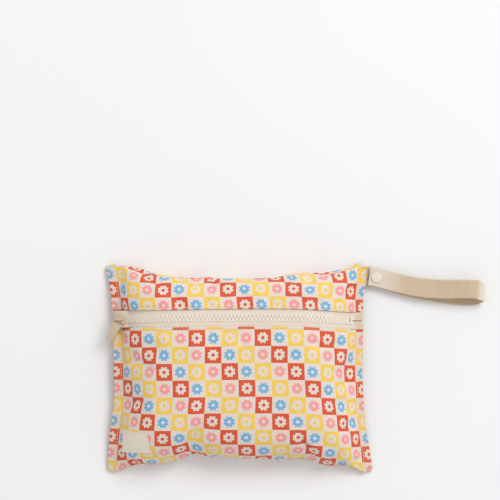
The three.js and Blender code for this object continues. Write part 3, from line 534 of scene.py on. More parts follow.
# %% The cloth as a grid
FLANGE = np.array([1.0, 0.955, 0.85, 0.65, 0.42, 0.2])  # shares of the sewn edge, from outside in
HEM_ROUND = 0.9  # how far from the zip the cloth's turned edge starts to round off
HEM_DROP = 0.55
TURN = np.radians([40, 90, 140])  # the cloth's way round a fold
FOLD_ROUND = 0.55
RIM_SHARES = (0.5, 0.86)  # how thick a sewn edge is at its outer rim and just inside it
STEP_GROWTH = 1.4
LOWER_LENGTH, UPPER_LENGTH = 145, 52  # of the front, below the zip and above it


def graded(length, fine, usual):
    """Shares from 0 to 1 whose steps grow from fine to usual and shrink again at the end."""
    head = [fine]
    while head[-1] * STEP_GROWTH < usual:
        head.append(head[-1] * STEP_GROWTH)
    rest = length - sum(head) - sum(head)
    count = max(1, round(rest / usual))
    steps = head + [rest / count] * count + head[::-1]
    return np.concatenate([[0], np.cumsum(steps)]) / length


def cloth_point(a, v, layer):
    """a runs from -1 to 0 over the left sewn edge, to 1 over the bag, to 2 over the right edge."""
    height = front if layer > 0 else back
    made = face_at(np.clip(a, 0, 1), v, height)
    for sign, s in ((-1, np.clip(-a, 0, 1)), (1, np.clip(a - 1, 0, 1))):
        rounded = np.where(s > 0.99, RIM_SHARES[0], np.where(s > 0.94, RIM_SHARES[1], 1.0))
        edge = edge_point(sign, v, s, layer * rounded)
        made = np.where((s > 0)[..., None], edge, made)
    return made


def slot_share(a, way):
    """How far up each column the zip's opening starts or ends."""
    v = np.full(len(a), ZIP_V)
    for _ in range(14):
        p = cloth_point(a, v, 1)
        v = v + (zip_y(p[:, 0]) + way * SLOT_WIDTH / 2 - p[:, 1]) / BAG_HEIGHT
    return v


# %% The cloth grid
class ClothGrid:
    """The cloth's points row by row: front below the zip, front above it, back, and both folds."""

    def __init__(self, across_step, up_step, fine):
        across = graded(BAG_WIDTH, fine, across_step)
        self.a = np.concatenate([-FLANGE, across, 1 + FLANGE[::-1]])
        self.lower = graded(LOWER_LENGTH, fine, up_step)
        self.upper = graded(UPPER_LENGTH, fine, up_step)
        slot = np.linspace(0, 1, max(4, round(SLOT_WIDTH / up_step)) + 1)
        low, high = slot_share(self.a, -1), slot_share(self.a, 1)
        v_low = self.lower[:, None] * low
        v_high = high + (1 - high) * self.upper[:, None]
        v_slot = low + (high - low) * slot[1:-1, None]
        fronts = [cloth_point(self.a, v, 1) for v in (*v_low, *v_high)]
        backs = [cloth_point(self.a, v, -1) for v in (*v_high[::-1], *v_slot[::-1], *v_low[::-1])]
        self.n_low, self.n_high = len(v_low), len(v_high)
        n_front = len(fronts)
        top = self.turned(fronts[-1], backs[0], 1)
        bottom = self.turned(backs[-1], fronts[0], -1)
        self.points = np.array([*fronts, *top, *backs, *bottom])
        self.back_start = n_front + len(TURN)
        # A number for each row that both a coarse and a fine grid share, to carry shapes over.
        r_turn = (np.arange(len(TURN)) + 1) / (len(TURN) + 1)
        self.r = np.concatenate([
            self.lower, 2 + self.upper, 3 + r_turn, 4 + (1 - self.upper[::-1]),
            5 + (1 - slot[1:-1][::-1]), 6 + (1 - self.lower[::-1]), 7 + r_turn,
        ])

    def turned(self, start, end, way):
        """The rows between the last one of a face and the first one of the other."""
        mid, half = (start + end) / 2, (start - end) / 2
        size = np.linalg.norm(half, axis=1) * FOLD_ROUND
        out = np.zeros_like(mid)
        out[:, 1] = way * size
        return [mid + half * math.cos(t) + out * math.sin(t) for t in TURN]

    def round_hem(self):
        """Rounds the cloth's turned edges along the zip."""
        for rows, edge in ((range(self.n_low), self.n_low - 1),
                           (range(self.n_low, self.n_low + self.n_high), self.n_low)):
            base = self.points[edge].copy()
            for r in rows:
                far = np.abs(self.points[r][:, 1] - base[:, 1])
                self.points[r][:, 2] -= HEM_DROP * np.maximum(0, 1 - far / HEM_ROUND) ** 2

    def faces(self):
        """The quads between the rows, except across the zip's opening."""
        rows, cols = self.points.shape[:2]
        made = []
        for r in range(rows):
            if r == self.n_low - 1:
                continue
            a, b = r * cols, (r + 1) % rows * cols
            made += [(a + c, a + c + 1, b + c + 1, b + c) for c in range(cols - 1)]
        return made + self.side_faces()

    def side_faces(self):
        """Closes the outer sides of the sewn edges, front to back."""
        rows, cols = self.points.shape[:2]
        back_high = [self.back_start + self.n_high - 1 - k for k in range(self.n_high)]
        last = rows - len(TURN) - 1
        back_low = [last - k for k in range(self.n_low)]
        pairs = [list(zip(range(self.n_low), back_low)),
                 list(zip(range(self.n_low, self.n_low + self.n_high), back_high))]
        made = []
        for run in pairs:
            for (f0, b0), (f1, b1) in zip(run, run[1:]):
                for c, flip in ((0, False), (cols - 1, True)):
                    quad = [r * cols + c for r in (f0, f1, b1, b0)]
                    made.append(tuple(quad[::-1] if flip else quad))
        top = [self.n_low + self.n_high - 1 + k for k in range(len(TURN) + 2)]
        bottom = [(last + k) % rows for k in range(len(TURN) + 2)]
        for ring in (top, bottom):
            for c, flip in ((0, False), (cols - 1, True)):
                loop = [r * cols + c for r in ring]
                made.append(tuple(loop[::-1] if flip else loop))
        return made


def normals(points):
    """Outward normals of a grid of points whose rows close round the bag."""
    round_way = np.roll(points, -1, axis=0) - np.roll(points, 1, axis=0)
    across = np.gradient(points, axis=1)
    made = np.cross(across, round_way)
    return made / np.maximum(np.linalg.norm(made, axis=2, keepdims=True), 1e-9)


cloth = ClothGrid(across_step=2.1, up_step=2.1, fine=0.35)
print("cloth grid", cloth.points.shape[:2])

# %% [markdown]
# A mesh can be written straight from its points and faces. One helper does that for every such
# piece and turns millimetres to metres. Another selects pieces and nothing else, because an
# operator acts on all that is selected.

# %% New objects
def mesh_piece(name, points, faces):
    """A new object from points in millimetres and faces."""
    data = bpy.data.meshes.new(name)
    data.from_pydata((np.asarray(points).reshape(-1, 3) * MM).tolist(), [], faces)
    data.validate()
    data.update()
    made = bpy.data.objects.new(name, data)
    bpy.context.collection.objects.link(made)
    return made


def pick(*objects):
    bpy.ops.object.select_all(action="DESELECT")
    for made in objects:
        made.select_set(True)
    bpy.context.view_layer.objects.active = objects[0]


# %% [markdown]
# A stuffed bag pulls its cloth tight between the seams, and the seams, which can't stretch, leave
# small waves beside them. A short cloth simulation finds these: a coarser grid is held along the
# seams, the zip and the flat back, gets a little more cloth than the form needs, and is blown up by
# gentle pressure. Its movement is then capped and carried over to the fine grid.

# %% Blow up the cloth
SPARE_CLOTH = 0.016
PRESSURE = 2.2
MOVE_CAP = 2.6
SIMULATED_FRAMES = 22
HELD_SHARE = 0.006  # of the width, beside the seams
HELD_ROWS = 3  # on each side of the zip's opening
RESTING = 3.0  # below this height the cloth lies still


def blown_up(grid):
    """How far each of the grid's points moves when the bag is blown up."""
    model = mesh_piece("cloth_test", grid.points, grid.faces())
    edges = (grid.a < HELD_SHARE) | (grid.a > 1 - HELD_SHARE)
    held = np.zeros(grid.points.shape[:2])
    held[:, edges] = 1
    held[grid.n_low - HELD_ROWS : grid.n_low + HELD_ROWS] = 1
    held[grid.points[..., 2] < RESTING] = 1
    group = model.vertex_groups.new(name="held")
    group.add(np.flatnonzero(held.ravel() > 0).tolist(), 1.0, "REPLACE")
    cloth_test = model.modifiers.new("Cloth", "CLOTH")
    settings = cloth_test.settings
    settings.vertex_group_mass = "held"
    settings.quality = 6
    settings.mass = 0.25
    settings.tension_stiffness = settings.compression_stiffness = 20
    settings.shear_stiffness = 8
    settings.bending_stiffness = 0.25
    settings.use_pressure = True
    settings.uniform_pressure_force = PRESSURE
    settings.shrink_min = -SPARE_CLOTH
    settings.effector_weights.gravity = 0
    cloth_test.collision_settings.use_collision = False
    for step in range(1, SIMULATED_FRAMES + 1):
        bpy.context.scene.frame_set(step)
    shown = model.evaluated_get(bpy.context.evaluated_depsgraph_get()).to_mesh()
    moved = np.empty(len(shown.vertices) * 3)
    shown.vertices.foreach_get("co", moved)
    bpy.data.objects.remove(model)
    bpy.context.scene.frame_set(1)
    shift = moved.reshape(grid.points.shape) / MM - grid.points
    size = np.linalg.norm(shift, axis=2, keepdims=True)
    return shift * np.minimum(1, MOVE_CAP / np.maximum(size, 1e-6))


def carry_over(coarse, shift, fine):
    """The coarse grid's movement at the fine grid's points, smooth both ways."""
    loop = np.concatenate([coarse.r, [8.0]])
    closed = np.concatenate([shift, shift[:1]])
    rows = curve(loop, closed, fine.r)
    made = curve(coarse.a, rows.transpose(1, 0, 2), fine.a)
    return made.transpose(1, 0, 2)


plain_points = cloth.points.copy()
coarse = ClothGrid(across_step=4.2, up_step=4.2, fine=1.6)
cloth_shift = carry_over(coarse, blown_up(coarse), cloth)
cloth.points = cloth.points + cloth_shift
print("cloth moved by up to", np.linalg.norm(cloth_shift, axis=2).max().round(2), "mm")

# %% [markdown]
# The needle and thread draw the cloth in a little at each stitch, so the cloth ripples along the
# side seams. The ripples are finer than the simulation's grid, so they are added by a few sine waves
# of different lengths, which fade away from the seam.

# %% Ripples beside the seams
RIPPLE = 0.42
RIPPLE_REACH = 8.0
SWAY = 0.35  # how far the sewn edges wave up and down
# length, start, share
WAVES = [(9.5, 0.0, 1.0), (6.1, 1.7, 0.55), (14.3, 4.0, 0.7), (4.2, 2.6, 0.25)]


def ripples(along, shift):
    """A sum of waves along a seam. Another shift gives another run of ripples."""
    return sum(
        share * np.sin(2 * np.pi * along / length + start + shift)
        for length, start, share in WAVES
    )


def arc_lengths(points, axis):
    """The way along each row or column of a grid, from its start to each of its points."""
    steps = np.linalg.norm(np.diff(points, axis=axis), axis=2)
    first = np.zeros_like(np.take(steps, [0], axis=axis))
    return np.concatenate([first, np.cumsum(steps, axis=axis)], axis=axis)


def add_ripples(grid):
    """Moves the cloth in and out beside the seams, and the sewn edges up and down."""
    out = normals(grid.points)
    along = grid.points[..., 1]
    reach = arc_lengths(plain_points, 1)
    left, right = (reach - reach[:, k : k + 1] for k in (len(FLANGE), -len(FLANGE) - 1))
    flat = smoothstep(grid.points[..., 2], 0.4, 5.0)
    total = 0
    for distance, shift in ((left, 0.0), (-right, 2.2)):
        inside = np.exp(-np.maximum(distance, 0) / RIPPLE_REACH) * smoothstep(distance, 0, 2.5)
        total = total + inside * ripples(along, shift)
    grid.points = grid.points + out * (RIPPLE * total * flat)[..., None]
    sway_left = smoothstep(-left, 1, 9) * ripples(along, 1.0)
    sway_right = smoothstep(right, 1, 9) * ripples(along, 3.0)
    free = smoothstep(grid.points[..., 2], 1.0, 4.0)
    grid.points[..., 2] += SWAY * (sway_left + sway_right) * free


add_ripples(cloth)
cloth.round_hem()
cloth.points[..., 2] = np.maximum(cloth.points[..., 2], 0.0)
print("cloth up to", cloth.points.max(axis=(0, 1)).round(1), "mm")

# %% [markdown]
# The print is laid out on the flat cloth before it is sewn, so it needs a map of the flat cloth: a
# UV map in metres. Across, each row is spread over the same cut width between the seams. Round the
# bag, lengths are measured from the zip, and the back takes up what is left.

# %% Map the flat cloth
SQUARE = 16.5
SQUARES_ACROSS = 16
SQUARES_ROUND = 24
LOWER_START = 2.7  # from the zip's lower edge to the next line of squares
UPPER_START = 12.6


def flat_map(grid, points):
    """Where each of the grid's points lies on the flat cloth, across and round the bag."""
    reach = arc_lengths(points, 1)
    k = len(FLANGE)
    body = reach[:, -k - 1 : -k] - reach[:, k : k + 1]
    u = (reach - reach[:, k : k + 1]) / body * SQUARE * SQUARES_ACROSS
    u[:, :k] = -FLANGE * EDGE_WIDTH
    u[:, -k:] = SQUARE * SQUARES_ACROSS + FLANGE[::-1] * EDGE_WIDTH
    # Rows are counted from the zip's upper edge round to its lower one.
    order = np.roll(np.arange(len(points)), -grid.n_low)
    run = arc_lengths(points[order], 0)
    upper_rows = grid.n_high + len(TURN)
    lower_rows = grid.n_low + len(TURN)
    total = SQUARE * SQUARES_ROUND
    v = run.copy()
    tail = run[-1] - run
    v[-lower_rows:] = total - tail[-lower_rows:]
    a, b = upper_rows - 1, len(points) - lower_rows
    share = (run[a : b + 1] - run[a]) / (run[b] - run[a])
    v[a : b + 1] = run[a] + share * (v[b] - run[a])
    made = np.empty_like(run)
    made[order] = v
    print("girth", run[-1].min().round(1), "to", run[-1].max().round(1), "mm, cut", total)
    return u, made


cut_u, cut_v = flat_map(cloth, plain_points)
# Along the zip's upper edge the squares start part way, and below it a thin strip shows.
cut_v = -(cut_v - UPPER_START)
cut_v[: cloth.n_low] += (SQUARE * SQUARES_ROUND - UPPER_START - LOWER_START) % SQUARE

# %% [markdown]
# The walls get their thickness from Solidify, inwards from the outer face. The map is written for
# each corner of each face first, because Solidify copies it to the inner wall.

# %% The cloth piece
def write_map(made, u, v):
    """Writes a UV map in metres from millimetres at each point."""
    layer = made.data.uv_layers.new(name="UVMap")
    index = np.empty(len(made.data.loops), dtype=np.int64)
    made.data.loops.foreach_get("vertex_index", index)
    flat = np.stack([u.ravel()[index], v.ravel()[index]], axis=1) * MM
    layer.data.foreach_set("uv", flat.ravel())


def face_outwards(made):
    """Turns the faces out, by the sign of the volume that they hold."""
    shape = bmesh.new()
    shape.from_mesh(made.data)
    bmesh.ops.recalc_face_normals(shape, faces=shape.faces)
    if shape.calc_volume(signed=True) < 0:
        bmesh.ops.reverse_faces(shape, faces=shape.faces)
    shape.to_mesh(made.data)
    shape.free()


def apply_all(made):
    """Applies a piece's modifiers in their order."""
    pick(made)
    for step in list(made.modifiers):
        bpy.ops.object.modifier_apply(modifier=step.name)


def smooth(made, angle):
    """Shades a piece smooth, except at edges sharper than the angle."""
    pick(made)
    bpy.ops.object.shade_smooth_by_angle(angle=math.radians(angle))


bag_cloth = mesh_piece("bag_cloth", cloth.points, cloth.faces())
write_map(bag_cloth, cut_u, cut_v)
face_outwards(bag_cloth)
wall = bag_cloth.modifiers.new("wall", "SOLIDIFY")
wall.thickness = CLOTH * MM
wall.offset = -1
apply_all(bag_cloth)
smooth(bag_cloth, 60)
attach(bag_cloth, "bag")
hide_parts("body_cloth")
print("cloth", len(bag_cloth.data.polygons), "faces")

# %% [markdown]
# The cloth is a plain weave with a thin film behind it, printed in four colours on ecru: a board of
# squares, with a small blossom in each. The blossom is a circle whose rim swings in and out eight
# times, with a round middle left in the square's own colour. Noise moves the ink's edges a little.
# The sewn edges are several layers pressed flat, and get painted shade: a little darker and warmer.

# %% Printed cloth
RED, YELLOW, BLUE, PINK, ECRU = (
    colour(216, 80, 40), colour(240, 199, 84), colour(114, 174, 214), colour(243, 152, 150),
    colour(224, 212, 202),
)
PETALS = 8
BLOSSOM = 5.7 / SQUARE  # radius at the petals' tips, as a share of a square
NOTCH = 0.34  # how far the rim swings in between two petals
HEART = 1.75 / SQUARE
INK_EDGE = 0.25 / SQUARE
INK_WANDER = 0.00012
THREAD = 0.00042
# Painted shade on the sewn edges: how fast it fades in, how strong it is, and its colour.
SEWN_FADE = 0.002
SEWN_TINT = 0.13
SEWN_SHADE = colour(186, 118, 72)


def printed_cloth():
    finish = Finish("printed_cloth", Roughness=0.8, Specular_IOR_Level=0.2, Sheen_Weight=0.03)
    where, u, v, _ = finish.place("UV")
    object_where, *_ = finish.place("Object")
    wander = finish.noise(where, 700.0, 2.0) - 0.5
    drift = finish.noise(object_where, 600.0, 2.0) - 0.5
    across = (u + wander * (2 * INK_WANDER)) / (SQUARE * MM)
    up = (v + drift * (2 * INK_WANDER)) / (SQUARE * MM)
    i, j = across.floor(), up.floor()
    x, y = across - i - 0.5, up - j - 0.5
    plain = (i + j).even()
    second = ((i - j) / 2).floor().even()
    radius = (x * x + y * y) ** 0.5
    turn = finish.node("ShaderNodeMath", {"operation": "ARCTAN2"}, {0: y, 1: x})
    swing = abs((turn * (PETALS / 2)).wave()) ** 0.7
    rim = (swing * NOTCH + (1 - NOTCH)) * BLOSSOM
    blossom = ((rim - radius) / INK_EDGE + 0.5).clip()
    heart = ((radius - HEART) / INK_EDGE + 0.5).clip()
    ink = blossom * heart
    ground = finish.mix(plain, finish.mix(second, RED, YELLOW), ECRU)
    petal = finish.mix(plain, ECRU, finish.mix(second, BLUE, PINK))
    printed = finish.mix(ink, ground, petal)
    tone = finish.noise(object_where, 45.0, 3.0)
    fade = finish.mix(tone * 0.05, printed, colour(250, 240, 228))
    # Painted shade on both sewn edges, darker and warmer.
    sewn_left = ((MM - u) / SEWN_FADE).clip()
    sewn_right = ((u - (SQUARE * SQUARES_ACROSS - 1) * MM) / SEWN_FADE).clip()
    edge_painted_shade = finish.mix((sewn_left + sewn_right) * SEWN_TINT, fade, SEWN_SHADE)
    warp = (u * (2 * math.pi / THREAD)).wave()
    weft = (v * (2 * math.pi / THREAD)).wave()
    slub = finish.noise(where, 900.0, 3.0)
    height = warp * weft * 0.5 + slub
    small = finish.bump(height, 0.00012, 0.35)
    crinkle = finish.noise(object_where, 70.0, 2.0)
    return finish.paint(Base_Color=edge_painted_shade, Normal=finish.bump(crinkle, 0.0006, 0.35, small))


def dress(made, material):
    """Gives a piece its one material."""
    made.data.materials.clear()
    made.data.materials.append(material)
    print(made.name, "has", material.name, "with", len(material.node_tree.nodes), "nodes")


dress(bag_cloth, printed_cloth())

# %% [markdown]
# The zip's tapes are woven bands sewn behind the cloth's turned edges. Each is a grid along the
# zip's path with a thin wall. Right of the stop the two tapes come together and leave a thin dark
# line between them, and at the slider they lie apart.

# %% Zip tapes
TAPE_UNDER = 3.5
TAPE_STATIONS = 170
TAPE_CROWD = 0.7  # how much closer the stations are at both ends, where the tapes bend
TAPE_ACROSS = np.array([0, 0.03, 0.1, 0.25, 0.4, 0.55, 0.7, 0.85, 0.97, 1.0])
TAPE_WALL = 0.85
TAPE_NEAR = 1.0  # its inner edge, under the teeth
TAPES_MEET = 0.42  # its inner edge right of the stop
TAPES_TOUCH = 0.1  # its inner edge at the left end, before the slider
TAPE_SAG = 0.22  # between the chain and the seam
TAPE_TUCK = 0.15  # how far its inner edge dips under the teeth
CHAIN_START = SLIDER_MIDDLE + SLIDER_HALF - 1.2
CHAIN_STOP = RIGHT_SEAM - 7.6
STOP_LENGTH = 3.4


def grid_faces(rows, cols):
    """Quads between the points of a grid."""
    return [
        (r * cols + c, r * cols + c + 1, (r + 1) * cols + c + 1, (r + 1) * cols + c)
        for r in range(rows - 1)
        for c in range(cols - 1)
    ]


def walled(made, thickness, bevel=0.0):
    """Gives a sheet its wall, half to each side, with rims rounded where bevel is set."""
    wall = made.modifiers.new("wall", "SOLIDIFY")
    wall.thickness = thickness * MM
    wall.offset = 0
    if bevel:
        rim = made.modifiers.new("rim", "BEVEL")
        rim.width = bevel * MM
        rim.segments = 2
        rim.limit_method = "ANGLE"
        rim.angle_limit = math.radians(60)
    apply_all(made)


def zip_tape(name, sign, node):
    """One tape. Its stations crowd together at both ends, where it bends most."""
    t = np.linspace(0, 1, TAPE_STATIONS + 1)
    t = t - TAPE_CROWD * np.sin(2 * np.pi * t) / (2 * np.pi)
    x = lerp(LEFT_END + 0.2, RIGHT_END - 0.2, t)
    near = lerp(TAPE_NEAR, TAPES_MEET, smoothstep(x, CHAIN_STOP, CHAIN_STOP + STOP_LENGTH))
    near = lerp(TAPES_TOUCH, near, smoothstep(x, LEFT_END + 1.4, LEFT_END + 3.0))
    wide_part = smoothstep(x, LIFT_OFF + 3, LIFT_OFF + 8)
    wide_part = wide_part * (1 - smoothstep(x, RIGHT_SEAM - 9, RIGHT_SEAM - 5))
    far = lerp(SLOT_WIDTH / 2 - GAP, SLOT_WIDTH / 2 + TAPE_UNDER, wide_part)
    w = near[:, None] + (far - near)[:, None] * TAPE_ACROSS
    sag = -TAPE_SAG * np.sin(np.pi * TAPE_ACROSS) * wide_part[:, None]
    sag = sag - TAPE_TUCK * (TAPE_ACROSS < 0.2)
    points = zip_point(x[:, None], sign * w, sag)
    made = mesh_piece(name, points, grid_faces(*points.shape[:2]))
    write_map(made, arc_lengths(points, 0), w)
    face_outwards(made)
    walled(made, TAPE_WALL)
    smooth(made, 50)
    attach(made, "bag")
    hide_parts(node)
    return made


tapes = [
    zip_tape("tape_upper", 1, "zip_tape_upper"),
    zip_tape("tape_lower", -1, "zip_tape_lower"),
]

# %% [markdown]
# A moulded tooth grips the cord with its foot, is narrow at the neck, wide at the shoulders and
# pointed at the head, which reaches between two teeth of the other row. One tooth is drawn as a flat
# outline, given thickness and round rims, and then copied along both rows.

# %% Flat outlines and moulded plates
def flat_plate(name, outlines, low, high, bevel, smooth_steps=2):
    """A plate from low to high with round rims: the first outline is its outside, the rest holes."""
    line = bpy.data.curves.new(name, "CURVE")
    line.dimensions = "2D"
    line.fill_mode = "BOTH"
    line.extrude = ((high - low) / 2 - bevel) * MM
    line.bevel_depth = bevel * MM
    line.bevel_resolution = smooth_steps
    line.offset = -bevel * MM
    for k, outline in enumerate(outlines):
        pairs = zip(outline, [*outline[1:], outline[0]])
        area = sum(a[0] * b[1] - b[0] * a[1] for a, b in pairs)
        wanted = 1 if k == 0 else -1
        turned_right = outline if area * wanted > 0 else outline[::-1]
        spline = line.splines.new("POLY")
        spline.points.add(len(outline) - 1)
        for point, (x, y) in zip(spline.points, turned_right):
            point.co = (x * MM, y * MM, 0, 1)
        spline.use_cyclic_u = True
    made = bpy.data.objects.new(name, line)
    bpy.context.collection.objects.link(made)
    pick(made)
    bpy.ops.object.convert(target="MESH")
    made = bpy.context.object
    made.data.transform(Matrix.Translation((0, 0, (low + high) / 2 * MM)))
    bpy.ops.object.mode_set(mode="EDIT")
    bpy.ops.mesh.select_all(action="SELECT")
    bpy.ops.mesh.remove_doubles(threshold=1e-6)
    bpy.ops.mesh.normals_make_consistent(inside=False)
    bpy.ops.object.mode_set(mode="OBJECT")
    return made


def arc(x, y, radius, start, end, steps, stretch=1.0):
    """Points of a round corner or end, from one angle to another in degrees."""
    angles = np.radians(np.linspace(start, end, steps + 1))
    return [(x + radius * math.cos(t), y + radius * stretch * math.sin(t)) for t in angles]


def rounded_bar(x0, x1, y0, y1, radius, steps=5):
    """The outline of an oblong with round corners."""
    return [
        *arc(x1 - radius, y0 + radius, radius, -90, 0, steps),
        *arc(x1 - radius, y1 - radius, radius, 0, 90, steps),
        *arc(x0 + radius, y1 - radius, radius, 90, 180, steps),
        *arc(x0 + radius, y0 + radius, radius, 180, 270, steps),
    ]


# %% Teeth, cords and stop
TOOTH_PITCH = 3.75
TOOTH_RIM = 0.22
CORD_RADIUS = 0.72
CORD_OFF = CHAIN_WIDTH / 2 - 0.5
CORD_SIDES = 10
CORD_LIFT = 0.25
TOOTH_SIDE = [(0.84, 1.0), (0.8, 0.72), (0.97, 0.5), (1.0, 0.36)]  # foot, neck and shoulders
TOOTH_ROWS = (("teeth_upper", 1, 0, "zip_teeth_upper"), ("teeth_lower", -1, 1, "zip_teeth_lower"))


def chain_places():
    """Places along the zip, half a tooth pitch apart along its real, curved length."""
    x = np.arange(CHAIN_START, CHAIN_STOP, 0.1)
    run = np.concatenate([[0], np.cumsum(np.hypot(0.1, np.diff(path_height(x))))])
    return np.interp(np.arange(0, run[-1], TOOTH_PITCH / 2), run, x)


def zip_frames(x):
    """Places on the zip's middle line with their own directions: along, across and up."""
    x = np.asarray(x, float)
    origin = zip_point(x, 0.0, 0.0)
    along = zip_point(x + 0.4, 0.0, 0.0) - zip_point(x - 0.4, 0.0, 0.0)
    along /= np.linalg.norm(along, axis=-1, keepdims=True)
    lift = zip_point(x, 0.0, 1.0) - origin
    lift -= along * (lift * along).sum(-1, keepdims=True)
    lift /= np.linalg.norm(lift, axis=-1, keepdims=True)
    return origin, along, np.cross(lift, along), lift


def copies(name, model, origin, along, across, lift):
    """One object with the model's mesh copied to each place and turned to its directions."""
    count = len(model.data.vertices)
    local = np.empty(count * 3)
    model.data.vertices.foreach_get("co", local)
    local = local.reshape(-1, 3) / MM
    placed = (
        origin[:, None]
        + local[None, :, 0:1] * along[:, None]
        + local[None, :, 1:2] * across[:, None]
        + local[None, :, 2:3] * lift[:, None]
    )
    faces = [tuple(p.vertices) for p in model.data.polygons]
    every = [tuple(v + k * count for v in face) for k in range(len(origin)) for face in faces]
    return mesh_piece(name, placed, every)


def join(name, pieces):
    """Makes several objects one, with one mesh."""
    pick(*pieces)
    bpy.ops.object.join()
    made = bpy.context.object
    made.name = name
    return made


def ring_faces(rings, sides):
    """Faces of a tube from one ring of points to the next, with both ends closed."""
    made = []
    for r in range(rings - 1):
        for k in range(sides):
            a, b = r * sides + k, r * sides + (k + 1) % sides
            made.append((a, b, b + sides, a + sides))
    last = (rings - 1) * sides
    return [*made, tuple(range(sides))[::-1], tuple(last + k for k in range(sides))]


def tube(name, centres, radius, sides):
    """A round cord through a row of centres."""
    centres = np.asarray(centres)
    along = np.gradient(centres, axis=0)
    along /= np.linalg.norm(along, axis=1, keepdims=True)
    lift = np.array([0, 0, 1.0]) - along * along[:, 2:3]
    lift /= np.linalg.norm(lift, axis=1, keepdims=True)
    across = np.cross(along, lift)
    turn = 2 * np.pi * np.arange(sides) / sides
    ring = across[:, None] * np.cos(turn)[:, None] + lift[:, None] * np.sin(turn)[:, None]
    made = mesh_piece(name, centres[:, None] + radius * ring, ring_faces(len(centres), sides))
    face_outwards(made)
    return made


# %% The tooth and its rows
tooth_half, tooth_wide = CHAIN_WIDTH / 2, 0.385 * TOOTH_PITCH
tooth_tip, tooth_reach = 0.075 * TOOTH_PITCH, 0.3 * TOOTH_PITCH
tooth_right = [(w * tooth_wide, h * tooth_half) for w, h in TOOTH_SIDE]
tooth_outline = [
    *[(-x, y) for x, y in tooth_right],
    (-tooth_tip, -tooth_reach), (tooth_tip, -tooth_reach),
    *tooth_right[::-1],
]
half_thick = CHAIN_THICKNESS / 2
tooth_model = flat_plate("tooth", [tooth_outline], -half_thick, half_thick, TOOTH_RIM, 1)
places = chain_places()
plastic_pieces = []
for name, sign, start, node in TOOTH_ROWS:
    x = places[start::2]
    origin, along, across, lift = zip_frames(x)
    row = copies(name, tooth_model, origin, along, across * sign, lift)
    face_outwards(row)
    fine_x = np.linspace(CHAIN_START - 0.5, CHAIN_STOP + 1.0, 260)
    cord_line = zip_point(fine_x, sign * CORD_OFF, CORD_LIFT)
    cord = tube("cord", cord_line, CORD_RADIUS, CORD_SIDES)
    row = join(name, [row, cord])
    smooth(row, 35)
    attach(row, "bag")
    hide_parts(node)
    plastic_pieces.append(row)
    print(name, len(x), "teeth")
bpy.data.objects.remove(tooth_model)

# %% The stop
STOP_WIDE = CHAIN_WIDTH / 2 + 0.8
STOP_CORE = 2.9
stop_x = places[-1] + TOOTH_PITCH * 0.6
stop_outline = rounded_bar(0, STOP_LENGTH, -STOP_WIDE, STOP_WIDE, 0.9)
core_outline = rounded_bar(0.2, STOP_LENGTH - 0.2, -STOP_CORE, STOP_CORE, 0.5)
stop_low = TAPE_THICKNESS / 2 + 0.1
stop_parts = [
    flat_plate("stop", [stop_outline], stop_low, half_thick + 0.15, 0.35, 3),
    flat_plate("stop_core", [core_outline], -half_thick, half_thick - 0.2, 0.2),
]
stop_model = join("stop_model", stop_parts)
zip_end = copies("chain_stop", stop_model, *[v[None] for v in zip_frames(stop_x)])
bpy.data.objects.remove(stop_model)
smooth(zip_end, 35)
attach(zip_end, "bag")
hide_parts("zip_stop")
plastic_pieces.append(zip_end)
print("stop", len(zip_end.data.polygons), "faces at", stop_x.round(1), "mm")

# %% [markdown]
# The slider is two plates joined by a wedge, with rails that hold the teeth together, and a bridge
# on top. The pull is a flat tab: its square loop goes under the bridge, its rim is raised, and it has
# an oval hole near the round end. Both are cast and painted, so every rim is round.

# %% Slider
PLATE_IN = CHAIN_THICKNESS / 2 + GAP
PLATE_OUT = PLATE_IN + 1.1
RAIL_IN = CHAIN_WIDTH / 2 + GAP
RAIL_OUT = RAIL_IN + 1.1
PLATE_CORNER = 1.6
HINGE_UP = PLATE_OUT + 2.0
PULL_BAR = 1.2
PULL_THICKNESS = 1.2
BAR_LOW = HINGE_UP + math.hypot(PULL_BAR, PULL_THICKNESS) / 2 + 0.8 * GAP
BRIDGE_AT = 0.0
BRIDGE_REACH = 4.0
BRIDGE_BAR = 1.3


def slider_parts():
    """The slider in its own frame: along X, its middle at the tapes' middle."""
    half = SLIDER_LENGTH / 2
    plate = [rounded_bar(-half, half, -RAIL_OUT, RAIL_OUT, PLATE_CORNER, 8)]
    parts = [
        flat_plate("plate_low", plate, -PLATE_OUT, -PLATE_IN, 0.35, 3),
        flat_plate("plate_up", plate, PLATE_IN, PLATE_OUT, 0.42, 3),
    ]
    rail_gap = TAPE_THICKNESS / 2 + GAP
    for y0, y1 in ((RAIL_IN, RAIL_OUT - 0.05), (0.05 - RAIL_OUT, -RAIL_IN)):
        rail = [rounded_bar(PLATE_CORNER - half, half - PLATE_CORNER, y0, y1, 0.35)]
        parts.append(flat_plate("rail_up", rail, rail_gap, PLATE_IN + 0.4, 0.15))
        parts.append(flat_plate("rail_low", rail, -PLATE_IN - 0.4, -rail_gap, 0.15))
    wedge = [rounded_bar(GAP - half, GAP - half + 3.0, -1.2, 1.2, 1.0)]
    parts.append(flat_plate("wedge", wedge, -PLATE_IN - 0.2, PLATE_IN + 0.2, 0.1))
    for way in (-1, 1):
        ends = sorted((BRIDGE_AT + way * BRIDGE_REACH, BRIDGE_AT + way * (BRIDGE_REACH - 1.0)))
        post = [rounded_bar(*ends, -0.5, 0.5, 0.2)]
        parts.append(flat_plate("post", post, PLATE_OUT - 0.3, BAR_LOW + 0.5, 0.12))
    bar = [rounded_bar(BRIDGE_AT - BRIDGE_REACH, BRIDGE_AT + BRIDGE_REACH, -1.0, 1.0, 0.95, 8)]
    parts.append(flat_plate("bar", bar, BAR_LOW, BAR_LOW + BRIDGE_BAR, 0.6, 5))
    return parts


